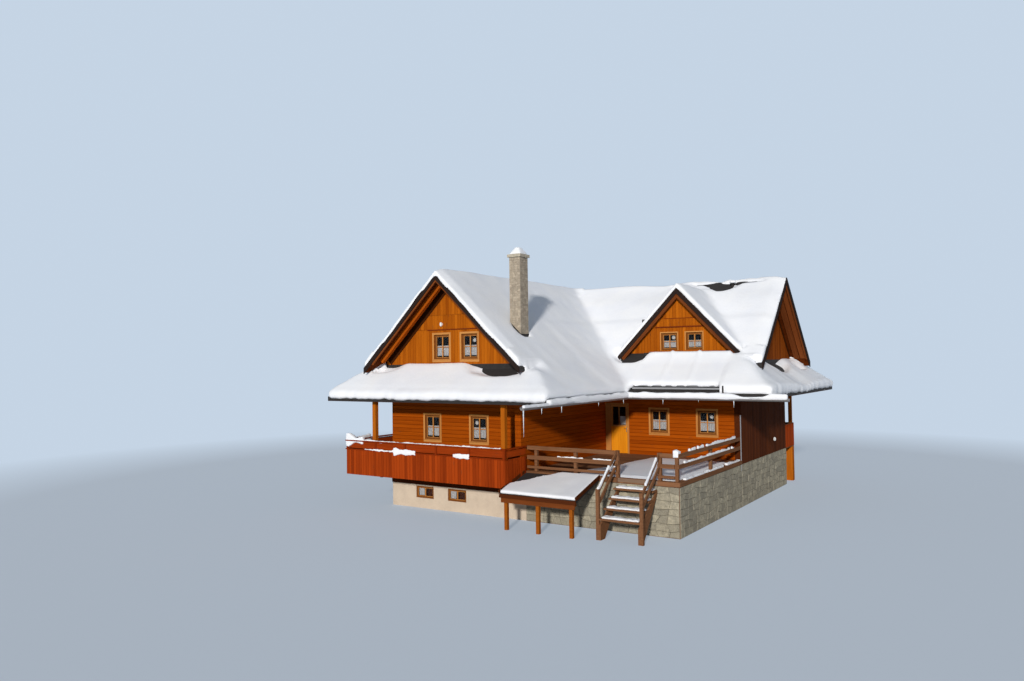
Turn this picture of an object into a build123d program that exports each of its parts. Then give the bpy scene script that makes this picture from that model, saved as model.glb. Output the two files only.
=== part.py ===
"""Mountain chalet in timber: two wings in an L, steep roofs under snow, balcony and terrace.

X runs along the front gable, Y runs from the front gable to the back and Z is up.
X = 0 is the ridge plane of the front wing, Z = 0 is the lowest ground.
Y = 0 is the middle of the front basement wall. All sizes are in millimetres.
"""
from build123d import *
import os

os.makedirs("parts", exist_ok=True)

# Plan of the two wings
wing_width = 6500
front_length = 6400
terrace_width = 5870
wall_thick = 250
base_thick = 300
sill_z = 1650
slab_thick = 150
storey_height = 2700

# Roof: steep upper part, flatter lower part from a knee outside the wall
upper_slope = 0.949
lower_slope = 0.768
slope_over_attic = 1552
knee_past = 500
eave_past = 1970
deck_thick = 160
snow_thick = 300
gable_project = 250
verge_project = 1093
end_verge_project = 1025
pent_project = 1684

# Logs
log_pitch = 150
log_groove = 9
log_bevel = 12
log_end = 300

# Places worked out from the plan
half_width = wing_width / 2
end_wall_x = half_width + terrace_width
front_y = -base_thick / 2
entrance_y = front_y + front_length
rear_y = entrance_y + wing_width
main_ridge_y = entrance_y + half_width
floor_z = sill_z + slab_thick
attic_z = floor_z + storey_height
wall_slope_z = attic_z + slope_over_attic
ridge_z = wall_slope_z + upper_slope * half_width
knee_run = half_width + knee_past
eave_run = half_width + eave_past
knee_z = ridge_z - upper_slope * knee_run
eave_z = knee_z - lower_slope * (eave_run - knee_run)
hip_run = eave_run - knee_run

front_gable_y = front_y - gable_project
front_verge_y = front_y - verge_project
front_eave_y = front_y - pent_project
end_gable_x = end_wall_x + gable_project
end_verge_x = end_wall_x + end_verge_project
end_eave_x = end_wall_x + pent_project
main_front_eave_y = main_ridge_y - eave_run
main_rear_eave_y = main_ridge_y + eave_run

# Dormer over the entrance front
dormer_from_corner = 3450
dormer_rise = 2628
dormer_slope = 1.034
dormer_run = 2660
dormer_verge = 300
dormer_deck = 150
dormer_snow = 250
dormer_x = half_width + dormer_from_corner
dormer_ridge_z = wall_slope_z + dormer_rise

# Entrance door, beside the inner corner
door_from_corner = 160
door_left = half_width + door_from_corner
door_width = 940
door_height = 2150
jamb = 80
leaf_gap = 8
leaf_thick = 60

# Windows: width, height and height of the sill over the floor
window_w = 760
window_h = 960
window_sill = 950
frame_w = 70
frame_t = 90
frame_in = 30
glass_t = 12

# Balcony round the front wing
balcony_depth = 1409
balcony_side = 1211
board_top = 537
board_bottom = -452
board_t = 40
rail_height = 920
post_size = 165
post_inset = 105
post_inset_left = 215
floor_step = 20
balcony_left = -half_width - balcony_side
balcony_right = half_width + board_t
post_x = (-half_width + post_inset_left, half_width - post_inset)

# Terrace, stairs and the lean-to in front of it
terrace_t = 120
ground_drop = 1100
stair_from_end = 750
stair_width = 1420
stair_steps = 4
stair_going = 360
rail_t = 50
rail_w = 140
rail_low = 430
rail_foot = 110
rail_foot_w = 90
rail_post = 110
shed_width = 2980
shed_depth = 1760
shed_back_drop = 40
shed_front_drop = 570
shed_t = 90
shed_snow = 130
stair_right = end_wall_x - stair_from_end
stair_left = stair_right - stair_width
shed_left = balcony_right
shed_right = shed_left + shed_width


def prism_x(points, low, high, mode=Mode.ADD):
    """Extrude a Y-Z outline between two X planes."""
    with BuildSketch(Plane.YZ.offset(low)) as outline:
        with BuildLine():
            Polyline(*points, close=True)
        make_face()
    extrude(outline.sketch, amount=high - low, mode=mode)


def prism_y(points, low, high, mode=Mode.ADD):
    """Extrude an X-Z outline between two Y planes."""
    with BuildSketch(Plane.XZ.offset(-high)) as outline:
        with BuildLine():
            Polyline(*points, close=True)
        make_face()
    extrude(outline.sketch, amount=high - low, mode=mode)


def prism_z(points, low, high, mode=Mode.ADD):
    """Extrude a plan outline between two levels."""
    with BuildSketch(Plane.XY.offset(low)) as outline:
        with BuildLine():
            Polyline(*points, close=True)
        make_face()
    extrude(outline.sketch, amount=high - low, mode=mode)


def block(x0, x1, y0, y1, z0, z1, mode=Mode.ADD):
    """A box between two corners."""
    prism_z([(x0, y0), (x1, y0), (x1, y1), (x0, y1)], z0, z1, mode)


def finish(builder, name):
    """Name a piece and write its file."""
    builder.part.label = name
    export_step(builder.part, f"parts/{name}.step")


def deck_z(run):
    """Height of the roof's upper face at a distance from the ridge."""
    if run <= knee_run:
        return ridge_z - upper_slope * run
    return knee_z - lower_slope * (run - knee_run)


def slope_band(ridge, side, under, over):
    """Section of one roof slope between two heights over its upper face."""
    runs = (0, knee_run, eave_run)
    top = [(ridge + side * run, deck_z(run) + over) for run in runs]
    low = [(ridge + side * run, deck_z(run) + under) for run in reversed(runs)]
    return top + low


def pent_band(wall, side, under, over):
    """Section of a pent roof between its gable wall and its eave."""
    run = pent_project - gable_project
    rise = lower_slope * run
    return [
        (wall, eave_z + rise + over),
        (wall + side * run, eave_z + over),
        (wall + side * run, eave_z + under),
        (wall, eave_z + rise + under),
    ]


def log_face(z_low, z_high):
    """Depth and height of a face of squared logs, from the bottom up."""
    points = []
    count = int((z_high - z_low) // log_pitch)
    for index in range(count):
        z = z_low + index * log_pitch
        points.append((log_groove, z))
        points.append((0, z + log_bevel))
        points.append((0, z + log_pitch - log_bevel))
    points.append((0, z_high))
    return points


# Plan outlines of the roof slopes
left_plan = [
    (0, front_verge_y),
    (-knee_run, front_verge_y),
    (-knee_run, front_eave_y + hip_run),
    (-eave_run, front_eave_y),
    (-eave_run, main_rear_eave_y),
    (0, main_ridge_y),
]
inner_plan = [
    (0, front_verge_y),
    (knee_run, front_verge_y),
    (knee_run, front_eave_y + hip_run),
    (eave_run, front_eave_y),
    (eave_run, main_front_eave_y),
    (0, main_ridge_y),
]
front_plan = [
    (0, main_ridge_y),
    (eave_run, main_front_eave_y),
    (end_eave_x, main_front_eave_y),
    (end_eave_x - hip_run, main_ridge_y - knee_run),
    (end_verge_x, main_ridge_y - knee_run),
    (end_verge_x, main_ridge_y),
]
rear_plan = [
    (0, main_ridge_y),
    (-eave_run, main_rear_eave_y),
    (end_eave_x, main_rear_eave_y),
    (end_eave_x - hip_run, main_ridge_y + knee_run),
    (end_verge_x, main_ridge_y + knee_run),
    (end_verge_x, main_ridge_y),
]
pent_run = pent_project - gable_project
front_pent_plan = [
    (-eave_run, front_eave_y),
    (eave_run, front_eave_y),
    (eave_run - pent_run, front_gable_y),
    (pent_run - eave_run, front_gable_y),
]
end_pent_plan = [
    (end_eave_x, main_front_eave_y),
    (end_eave_x, main_rear_eave_y),
    (end_gable_x, main_rear_eave_y - pent_run),
    (end_gable_x, main_front_eave_y + pent_run),
]
low_z = 0
high_z = ridge_z + storey_height


def dormer_band(under, over):
    """Section of the dormer's two slopes between two heights over its upper face."""
    foot = dormer_ridge_z - dormer_slope * dormer_run
    return [
        (dormer_x - dormer_run, foot + over),
        (dormer_x, dormer_ridge_z + over),
        (dormer_x + dormer_run, foot + over),
        (dormer_x + dormer_run, foot + under),
        (dormer_x, dormer_ridge_z + under),
        (dormer_x - dormer_run, foot + under),
    ]


def below_front_slope(over):
    """Outline of all that lies under the main front slope, raised by a height."""
    return [
        (main_ridge_y - eave_run, deck_z(eave_run) + over),
        (main_ridge_y - knee_run, deck_z(knee_run) + over),
        (main_ridge_y, ridge_z + over),
        (main_ridge_y, low_z),
        (main_ridge_y - eave_run, low_z),
    ]


# Basement and plinth
basement_window_w = 900
basement_window_h = 470
basement_window_drop = 1400
basement_window_z = floor_z - basement_window_drop
basement_window_x = (-1550, 60)

with BuildPart() as basement_walls:
    block(-half_width, half_width, front_y, front_y + base_thick, 0, sill_z)
    block(-half_width, -half_width + base_thick, front_y, rear_y - base_thick, 0, sill_z)
    block(half_width - base_thick, half_width, front_y, entrance_y, 0, sill_z)
    for x in basement_window_x:
        block(x - basement_window_w / 2, x + basement_window_w / 2, front_y, front_y + base_thick,
              basement_window_z, basement_window_z + basement_window_h, Mode.SUBTRACT)
finish(basement_walls, "basement_walls")

with BuildPart() as plinth_walls:
    block(half_width - base_thick, end_wall_x, entrance_y, entrance_y + base_thick, 0, sill_z)
    block(-half_width, end_wall_x, rear_y - base_thick, rear_y, 0, sill_z)
    block(end_wall_x - base_thick, end_wall_x, entrance_y, rear_y, 0, sill_z)
finish(plinth_walls, "plinth_walls")

# Floors lie between the walls
inner_half = half_width - wall_thick
floor_plan = [
    (-inner_half, front_y + wall_thick),
    (inner_half, front_y + wall_thick),
    (inner_half, entrance_y + wall_thick),
    (end_wall_x - wall_thick, entrance_y + wall_thick),
    (end_wall_x - wall_thick, rear_y - wall_thick),
    (-inner_half, rear_y - wall_thick),
]
with BuildPart() as ground_floor:
    prism_z(floor_plan, sill_z, floor_z)
finish(ground_floor, "ground_floor")

# The chimney goes up inside the front wing and out through the inner slope
chimney_from_wall = 795
chimney_from_front = 903
chimney_w = 480
chimney_d = 540
chimney_rise = 714
cap_over = 60
cap_t = 110
cap_snow = 280
cap_snow_taper = 32
chimney_x = half_width - chimney_from_wall
chimney_y = front_y + chimney_from_front
chimney_top = ridge_z + chimney_rise


def chimney_hole():
    """Cut the chimney's passage."""
    block(chimney_x - chimney_w / 2, chimney_x + chimney_w / 2, chimney_y - chimney_d / 2,
          chimney_y + chimney_d / 2, low_z, high_z, Mode.SUBTRACT)


with BuildPart() as attic_floor:
    prism_z(floor_plan, attic_z - slab_thick, attic_z)
    chimney_hole()
finish(attic_floor, "attic_floor")

# Log walls
front_window_x = (-1120, 1155)
wall_head_z = attic_z


def window_hole_y(x, sill, y0, y1):
    """Cut a window through a wall that faces along Y."""
    block(x - window_w / 2, x + window_w / 2, y0, y1, sill, sill + window_h, Mode.SUBTRACT)


def window_hole_x(y, sill, x0, x1):
    """Cut a window through a wall that faces along X."""
    block(x0, x1, y - window_w / 2, y + window_w / 2, sill, sill + window_h, Mode.SUBTRACT)


ground_sill = floor_z + window_sill
with BuildPart() as front_wall:
    face = [(front_y + depth, z) for depth, z in log_face(sill_z, wall_head_z)]
    back = front_y + wall_thick
    prism_x(face + [(back, wall_head_z), (back, sill_z)], -half_width, half_width)
    for x in front_window_x:
        window_hole_y(x, ground_sill, front_y, back)
finish(front_wall, "front_wall")


def side_profile(side):
    """Section of a side wall of the front wing, its top under the roof."""
    head = deck_z(half_width) - deck_thick
    head_inner = deck_z(inner_half) - deck_thick
    face = [(side * (half_width - depth), z) for depth, z in log_face(sill_z, head)]
    return face + [(side * inner_half, head_inner), (side * inner_half, sill_z)]


side_window_first = 1750
side_window_step = 3000
side_room = rear_y - front_y - side_window_first - window_w
left_window_y = [
    front_y + side_window_first + index * side_window_step
    for index in range(int(side_room // side_window_step) + 1)
]
with BuildPart() as left_wall:
    prism_y(side_profile(-1), front_y + wall_thick, rear_y - wall_thick)
    for y in left_window_y:
        window_hole_x(y, ground_sill, -half_width, -inner_half)
finish(left_wall, "left_wall")

with BuildPart() as inner_wall:
    prism_y(side_profile(1), front_y + wall_thick, entrance_y)
finish(inner_wall, "inner_wall")


def long_profile(side, base):
    """Section of a long wall of the main wing, its top under the roof."""
    head = deck_z(half_width) - deck_thick
    head_inner = deck_z(inner_half) - deck_thick
    middle = main_ridge_y
    face = [(middle + side * (half_width - depth), z) for depth, z in log_face(base, head)]
    return face + [(middle + side * inner_half, head_inner), (middle + side * inner_half, base)]


door_right = door_left + door_width
door_head = floor_z + door_height
entrance_window_first = 1370
entrance_window_step = 2050
entrance_window_x = (
    door_right + entrance_window_first,
    door_right + entrance_window_first + entrance_window_step,
)
with BuildPart() as entrance_wall:
    prism_x(long_profile(-1, sill_z), door_right, end_wall_x - wall_thick)
    for x in entrance_window_x:
        window_hole_y(x, ground_sill, entrance_y, entrance_y + wall_thick)
finish(entrance_wall, "entrance_wall")

with BuildPart() as entrance_lintel:
    prism_x(long_profile(-1, door_head), half_width - wall_thick, door_right)
finish(entrance_lintel, "entrance_lintel")

rear_window_first = 1750
rear_window_step = 2400
rear_room = half_width + end_wall_x - rear_window_first - window_w
rear_window_x = [
    -half_width + rear_window_first + index * rear_window_step
    for index in range(int(rear_room // rear_window_step) + 1)
]
with BuildPart() as rear_wall:
    prism_x(long_profile(1, sill_z), -half_width, end_wall_x)
    prism_y(
        [
            (-half_width, deck_z(half_width) - deck_thick),
            (-inner_half, deck_z(inner_half) - deck_thick),
            (-inner_half, high_z),
            (-half_width, high_z),
        ],
        rear_y - wall_thick, rear_y, Mode.SUBTRACT)
    for x in rear_window_x:
        window_hole_y(x, ground_sill, rear_y - wall_thick, rear_y)
finish(rear_wall, "rear_wall")

with BuildPart() as end_wall:
    block(end_wall_x - wall_thick, end_wall_x, entrance_y, rear_y - wall_thick, sill_z, wall_head_z)
finish(end_wall, "end_wall")

# The inner wall's logs run past the front wall, with a groove at each course on all three faces
with BuildPart() as corner_logs:
    ends_low = floor_z - floor_step
    ends_front = front_y - log_end
    courses = log_face(sill_z, wall_head_z)
    face = [(ends_front + depth, z) for depth, z in courses]
    prism_x(face + [(front_y, wall_head_z), (front_y, sill_z)], half_width - wall_thick, half_width)
    right = [(half_width - depth, z) for depth, z in courses]
    left = [(half_width - wall_thick + depth, z) for depth, z in reversed(courses)]
    prism_y(right + left, ends_front, front_y, Mode.INTERSECT)
    block(half_width - wall_thick, half_width, ends_front, front_y, sill_z, ends_low, Mode.SUBTRACT)
finish(corner_logs, "corner_logs")

# Gables stand forward of the log walls on a wall plate
attic_window_sill = 1400
attic_sill = attic_z + attic_window_sill
attic_window_x = (-395, 955)
plate_h = 200
plate_z = wall_head_z + plate_h
gable_head = deck_z(half_width) - deck_thick
gable_outline = [
    (-half_width, wall_head_z),
    (half_width, wall_head_z),
    (half_width, gable_head),
    (0, ridge_z - deck_thick),
    (-half_width, gable_head),
]
with BuildPart() as front_gable:
    prism_y(gable_outline, front_gable_y, front_y)
    block(-inner_half, inner_half, front_y, front_y + wall_thick, wall_head_z, plate_z)
    for x in attic_window_x:
        window_hole_y(x, attic_sill, front_gable_y, front_y)
finish(front_gable, "front_gable")

with BuildPart() as end_gable:
    prism_x([(main_ridge_y + u, z) for u, z in gable_outline], end_wall_x, end_gable_x)
    block(end_wall_x - wall_thick, end_wall_x, entrance_y + wall_thick, rear_y - wall_thick,
          wall_head_z, plate_z)
finish(end_gable, "end_gable")

dormer_foot_z = dormer_ridge_z - dormer_slope * dormer_run
dormer_eave = 260
dormer_wall_half = dormer_run - dormer_eave
dormer_wall_head = dormer_ridge_z - dormer_deck - dormer_slope * dormer_wall_half
dormer_window_w = 700
dormer_window_h = 705
dormer_window_left = 460
dormer_window_right = 610
dormer_sill_clear = 2
dormer_window_x = (dormer_x - dormer_window_left, dormer_x + dormer_window_right)
dormer_sill = wall_slope_z + upper_slope * (frame_in + frame_t) + dormer_sill_clear
with BuildPart() as dormer_gable:
    prism_y(
        [
            (dormer_x - dormer_wall_half, floor_z),
            (dormer_x + dormer_wall_half, floor_z),
            (dormer_x + dormer_wall_half, dormer_wall_head),
            (dormer_x, dormer_ridge_z - dormer_deck),
            (dormer_x - dormer_wall_half, dormer_wall_head),
        ],
        entrance_y, entrance_y + wall_thick)
    prism_x(below_front_slope(0), 0, end_verge_x, Mode.SUBTRACT)
    for x in dormer_window_x:
        block(x - dormer_window_w / 2, x + dormer_window_w / 2, entrance_y, entrance_y + wall_thick,
              dormer_sill, dormer_sill + dormer_window_h, Mode.SUBTRACT)
finish(dormer_gable, "dormer_gable")

# Roof slopes
with BuildPart() as left_roof:
    prism_y(slope_band(0, -1, -deck_thick, 0), front_verge_y - pent_project, main_rear_eave_y)
    prism_z(left_plan, low_z, high_z, Mode.INTERSECT)
finish(left_roof, "left_roof")

with BuildPart() as inner_roof:
    prism_y(slope_band(0, 1, -deck_thick, 0), front_verge_y - pent_project, main_ridge_y)
    prism_z(inner_plan, low_z, high_z, Mode.INTERSECT)
    chimney_hole()
finish(inner_roof, "inner_roof")

dormer_hole_half = dormer_wall_half - wall_thick
with BuildPart() as front_roof:
    prism_x(slope_band(main_ridge_y, -1, -deck_thick, 0), 0, end_eave_x)
    prism_z(front_plan, low_z, high_z, Mode.INTERSECT)
    prism_z(
        [
            (dormer_x - dormer_hole_half, entrance_y + wall_thick),
            (dormer_x + dormer_hole_half, entrance_y + wall_thick),
            (dormer_x, entrance_y + wall_thick + dormer_hole_half),
        ],
        low_z, high_z, Mode.SUBTRACT)
finish(front_roof, "front_roof")

with BuildPart() as rear_roof:
    prism_x(slope_band(main_ridge_y, 1, -deck_thick, 0), -eave_run, end_eave_x)
    prism_z(rear_plan, low_z, high_z, Mode.INTERSECT)
finish(rear_roof, "rear_roof")

with BuildPart() as pent_roofs:
    prism_x(pent_band(front_gable_y, -1, -deck_thick, 0), -eave_run, eave_run)
    prism_z(front_pent_plan, low_z, high_z, Mode.INTERSECT)
with BuildPart() as end_pent:
    prism_y(pent_band(end_gable_x, 1, -deck_thick, 0), main_front_eave_y, main_rear_eave_y)
    prism_z(end_pent_plan, low_z, high_z, Mode.INTERSECT)
with pent_roofs:
    add(end_pent.part)
    for slope in (left_roof, inner_roof, front_roof, rear_roof):
        add(slope.part, mode=Mode.SUBTRACT)
finish(pent_roofs, "pent_roofs")

dormer_verge_y = entrance_y - dormer_verge
with BuildPart() as dormer_roof:
    prism_y(dormer_band(-dormer_deck, 0), dormer_verge_y, main_ridge_y)
    prism_x(below_front_slope(0), 0, end_verge_x, Mode.SUBTRACT)
finish(dormer_roof, "dormer_roof")

# Raised sheet-metal apron under the dormer's windows, open along its lower edge
apron_left = 1350
apron_right = 2250
apron_rise = 70
apron_t = 40
apron_run = 1750
apron_board = 60
apron_foot_y = entrance_y - apron_run
apron_board_y = apron_foot_y + apron_board


def apron_z(y):
    """Height of the apron's upper face."""
    return wall_slope_z + apron_rise - lower_slope * (entrance_y - y)


def front_deck_z(y):
    """Height of the main front slope's upper face."""
    return deck_z(main_ridge_y - y)


knee_y = main_ridge_y - knee_run
with BuildPart() as apron_roof:
    prism_x(
        [
            (apron_foot_y, apron_z(apron_foot_y)),
            (entrance_y, apron_z(entrance_y)),
            (entrance_y, apron_z(entrance_y) - apron_t),
            (apron_foot_y, apron_z(apron_foot_y) - apron_t),
        ],
        dormer_x - apron_left, dormer_x + apron_right)
    for x in (dormer_x - apron_left, dormer_x + apron_right - apron_board):
        prism_x(
            [
                (apron_board_y, front_deck_z(apron_board_y)),
                (knee_y, front_deck_z(knee_y)),
                (entrance_y, front_deck_z(entrance_y)),
                (entrance_y, apron_z(entrance_y) - apron_t),
                (apron_board_y, apron_z(apron_board_y) - apron_t),
            ],
            x, x + apron_board)
finish(apron_roof, "apron_roof")

# Gutters over the terrace: they meet in the valley's corner and run on past both outer corners
gutter_r = 75
gutter_t = 6
gutter_flange = 40
gutter_drop = 150
gutter_past_front = 1650
gutter_past_end = 700
gutter_z = eave_z - gutter_drop
gutter_w = 2 * gutter_r
gutter_front = front_eave_y - gutter_past_front
gutter_end = end_eave_x + gutter_past_end


def channel(plane, centre, away, length):
    """A half-round channel with a flange against the eave."""
    with BuildSketch(plane) as outline:
        with Locations((centre, gutter_z)):
            Circle(gutter_r)
            Circle(gutter_r - gutter_t, mode=Mode.SUBTRACT)
        with Locations((centre, gutter_z + gutter_r / 2)):
            Rectangle(gutter_w, gutter_r, mode=Mode.SUBTRACT)
        with Locations((centre - away * (gutter_r - gutter_t / 2), gutter_z + gutter_flange / 2)):
            Rectangle(gutter_t, gutter_flange)
    extrude(outline.sketch, amount=length)


def channel_stop(plane, centre):
    """The half-round plate that closes a channel's end."""
    with BuildSketch(plane) as outline:
        with Locations((centre, gutter_z)):
            Circle(gutter_r)
        with Locations((centre, gutter_z + gutter_r / 2)):
            Rectangle(gutter_w, gutter_r, mode=Mode.SUBTRACT)
    extrude(outline.sketch, amount=gutter_t)


with BuildPart() as gutters:
    channel(Plane.XZ.offset(-main_front_eave_y), eave_run + gutter_r, 1,
            main_front_eave_y - gutter_front)
    prism_z(
        [
            (eave_run, gutter_front),
            (eave_run + gutter_w, gutter_front),
            (eave_run + gutter_w, main_front_eave_y - gutter_w),
            (eave_run, main_front_eave_y),
        ],
        low_z, high_z, Mode.INTERSECT)
    channel_stop(Plane.XZ.offset(-gutter_front - gutter_t), eave_run + gutter_r)
with BuildPart() as front_gutter:
    channel(Plane.YZ.offset(eave_run), main_front_eave_y - gutter_r, -1, gutter_end - eave_run)
    prism_z(
        [
            (eave_run, main_front_eave_y),
            (eave_run + gutter_w, main_front_eave_y - gutter_w),
            (gutter_end, main_front_eave_y - gutter_w),
            (gutter_end, main_front_eave_y),
        ],
        low_z, high_z, Mode.INTERSECT)
    channel_stop(Plane.YZ.offset(gutter_end - gutter_t), main_front_eave_y - gutter_r)
with gutters:
    add(front_gutter.part)
finish(gutters, "gutters")

# Barge boards in front of the verges
barge_t = 40
barge_over = 20
barge_deep = 220


def barge_outline(run, top, slope):
    """Outline of a pair of barge boards about their ridge."""
    foot = top - slope * run
    return [
        (-run, foot + barge_over),
        (0, top + barge_over),
        (run, foot + barge_over),
        (run, foot - barge_deep),
        (0, top - barge_deep),
        (-run, foot - barge_deep),
    ]


with BuildPart() as barge_boards:
    main_pair = barge_outline(knee_run, ridge_z, upper_slope)
    prism_y(main_pair, front_verge_y - barge_t, front_verge_y)
    prism_x([(main_ridge_y + u, z) for u, z in main_pair], end_verge_x, end_verge_x + barge_t)
with BuildPart() as dormer_barge:
    dormer_pair = barge_outline(dormer_run, dormer_ridge_z, dormer_slope)
    prism_y([(dormer_x + u, z) for u, z in dormer_pair], dormer_verge_y - barge_t, dormer_verge_y)
    prism_x(below_front_slope(0), 0, end_verge_x, Mode.SUBTRACT)
with barge_boards:
    add(dormer_barge.part)
finish(barge_boards, "barge_boards")

# Snow on the roofs
with BuildPart() as left_snow:
    prism_y(slope_band(0, -1, 0, snow_thick), front_verge_y - pent_project, main_rear_eave_y)
    prism_z(left_plan, low_z, high_z, Mode.INTERSECT)
with BuildPart() as inner_snow:
    prism_y(slope_band(0, 1, 0, snow_thick), front_verge_y - pent_project, main_ridge_y)
    prism_z(inner_plan, low_z, high_z, Mode.INTERSECT)
with BuildPart() as front_snow:
    prism_x(slope_band(main_ridge_y, -1, 0, snow_thick), 0, end_eave_x)
    prism_z(front_plan, low_z, high_z, Mode.INTERSECT)
    envelope_half = dormer_run
    prism_y(
        [
            (dormer_x - envelope_half, floor_z),
            (dormer_x + envelope_half, floor_z),
            (dormer_x + envelope_half, dormer_foot_z + dormer_snow),
            (dormer_x, dormer_ridge_z + dormer_snow),
            (dormer_x - envelope_half, dormer_foot_z + dormer_snow),
        ],
        dormer_verge_y - barge_t, main_ridge_y, Mode.SUBTRACT)
with BuildPart() as rear_snow:
    prism_x(slope_band(main_ridge_y, 1, 0, snow_thick), -eave_run, end_eave_x)
    prism_z(rear_plan, low_z, high_z, Mode.INTERSECT)
with BuildPart() as front_pent_snow:
    prism_x(pent_band(front_gable_y, -1, 0, snow_thick), -eave_run, eave_run)
    prism_z(front_pent_plan, low_z, high_z, Mode.INTERSECT)
with BuildPart() as end_pent_snow:
    prism_y(pent_band(end_gable_x, 1, 0, snow_thick), main_front_eave_y, main_rear_eave_y)
    prism_z(end_pent_plan, low_z, high_z, Mode.INTERSECT)
with BuildPart() as dormer_snow_part:
    prism_y(dormer_band(0, dormer_snow), dormer_verge_y, main_ridge_y)
    prism_x(below_front_slope(0), 0, end_verge_x, Mode.SUBTRACT)

with BuildPart() as chimney:
    block(chimney_x - chimney_w / 2, chimney_x + chimney_w / 2, chimney_y - chimney_d / 2,
          chimney_y + chimney_d / 2, floor_z, chimney_top - cap_t)
    block(chimney_x - chimney_w / 2 - cap_over, chimney_x + chimney_w / 2 + cap_over,
          chimney_y - chimney_d / 2 - cap_over, chimney_y + chimney_d / 2 + cap_over,
          chimney_top - cap_t, chimney_top)
finish(chimney, "chimney")

with BuildPart() as roof_snow:
    for layer in (left_snow, inner_snow, front_snow, rear_snow, front_pent_snow, end_pent_snow,
                  dormer_snow_part):
        add(layer.part)
    chimney_hole()
    prism_x(
        [
            (main_front_eave_y, low_z),
            (entrance_y, low_z),
            (entrance_y, apron_z(entrance_y)),
            (apron_foot_y, apron_z(apron_foot_y)),
            (apron_foot_y, high_z),
            (main_front_eave_y, high_z),
        ],
        dormer_x - apron_left, dormer_x + apron_right, Mode.SUBTRACT)
    for lower in (left_roof, inner_roof, front_roof, rear_roof, pent_roofs, dormer_roof, barge_boards):
        add(lower.part, mode=Mode.SUBTRACT)
finish(roof_snow, "roof_snow")

# Balcony
balcony_front = front_y - balcony_depth
balcony_return = entrance_y
with BuildPart() as balcony_floor:
    block(balcony_left + board_t, balcony_right - board_t, balcony_front + board_t, front_y,
          sill_z, floor_z - floor_step)
    block(balcony_left + board_t, -half_width, front_y, balcony_return,
          sill_z, floor_z - floor_step)
finish(balcony_floor, "balcony_floor")

with BuildPart() as balcony_front_boards:
    block(balcony_left, balcony_right, balcony_front, balcony_front + board_t,
          floor_z + board_bottom, floor_z + board_top)
finish(balcony_front_boards, "balcony_front_boards")

with BuildPart() as balcony_side_boards:
    block(balcony_left, balcony_left + board_t, balcony_front + board_t, balcony_return,
          floor_z + board_bottom, floor_z + board_top)
    block(balcony_right - board_t, balcony_right, balcony_front + board_t, front_y,
          floor_z + board_bottom, floor_z + board_top)
finish(balcony_side_boards, "balcony_side_boards")

hand_w = 140
hand_t = 50
hand_over = 30
shelf_w = 130
shelf_t = 35
stud = 90
stud_count = 6
hand_z = floor_z + rail_height
shelf_z = floor_z + board_top
with BuildPart() as balcony_handrail:
    for width, low, high in (
        (hand_w, hand_z - hand_t, hand_z),
        (shelf_w, shelf_z, shelf_z + shelf_t),
    ):
        block(balcony_left - hand_over, balcony_right + hand_over, balcony_front - hand_over,
              balcony_front - hand_over + width, low, high)
        block(balcony_left - hand_over, balcony_left - hand_over + width, balcony_front,
              balcony_return, low, high)
    for index in range(stud_count):
        x = balcony_left + index * (balcony_right - balcony_left - stud) / (stud_count - 1)
        block(x, x + stud, balcony_front, balcony_front + stud, shelf_z, hand_z)
    for index in range(1, stud_count):
        y = balcony_front + index * (balcony_return - balcony_front - stud) / (stud_count - 1)
        block(balcony_left, balcony_left + stud, y, y + stud, shelf_z, hand_z)
finish(balcony_handrail, "balcony_handrail")

beam_clear = 100
beam_h = 200
beam_y = balcony_front - hand_over + hand_w


def pent_under(y):
    """Height of the front pent roof's underside."""
    return eave_z - deck_thick + lower_slope * (y - front_eave_y)


beam_back = beam_y + post_size
beam_under = pent_under(beam_y) - beam_h
beam_half = eave_run - (beam_back - front_eave_y) - beam_clear
with BuildPart() as eave_beam:
    prism_x(
        [
            (beam_y, pent_under(beam_y)),
            (beam_back, pent_under(beam_back)),
            (beam_back, beam_under),
            (beam_y, beam_under),
        ],
        -beam_half, beam_half)
finish(eave_beam, "eave_beam")

with BuildPart() as balcony_posts:
    for x in post_x:
        block(x - post_size / 2, x + post_size / 2, beam_y, beam_back, floor_z - floor_step, beam_under)
finish(balcony_posts, "balcony_posts")

# Terrace in the inner corner
terrace_right = end_wall_x
terrace_front = front_y
with BuildPart() as terrace_floor:
    block(half_width, terrace_right, terrace_front, entrance_y, floor_z - terrace_t, floor_z)
finish(terrace_floor, "terrace_floor")

with BuildPart() as terrace_walls:
    block(half_width, terrace_right, terrace_front, terrace_front + base_thick, 0, floor_z - terrace_t)
    block(terrace_right - base_thick, terrace_right, terrace_front, entrance_y,
          0, floor_z - terrace_t)
finish(terrace_walls, "terrace_walls")

rail_from_wall = 60
post_from_wall = 345
rail_clear = 10
rail_y = terrace_front + rail_t


def rail_run_x(x0, x1, posts):
    """A railing along X: posts that start at the given places, and three rails."""
    for x in posts:
        block(x, x + rail_post, rail_y, rail_y + rail_post, floor_z, floor_z + rail_height)
    for z in (floor_z + rail_height - rail_w, floor_z + rail_low):
        block(x0, x1, rail_y - rail_t, rail_y, z, z + rail_w)
    block(x0, x1, rail_y - rail_t, rail_y, floor_z + rail_foot, floor_z + rail_foot + rail_foot_w)


with BuildPart() as terrace_front_rail:
    first = half_width + post_from_wall
    last = stair_left - rail_post
    rail_run_x(half_width + rail_from_wall, stair_left, (first, (first + last) / 2, last))
    rail_run_x(stair_right, terrace_right - rail_post - rail_t, (stair_right,))
finish(terrace_front_rail, "terrace_front_rail")

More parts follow.
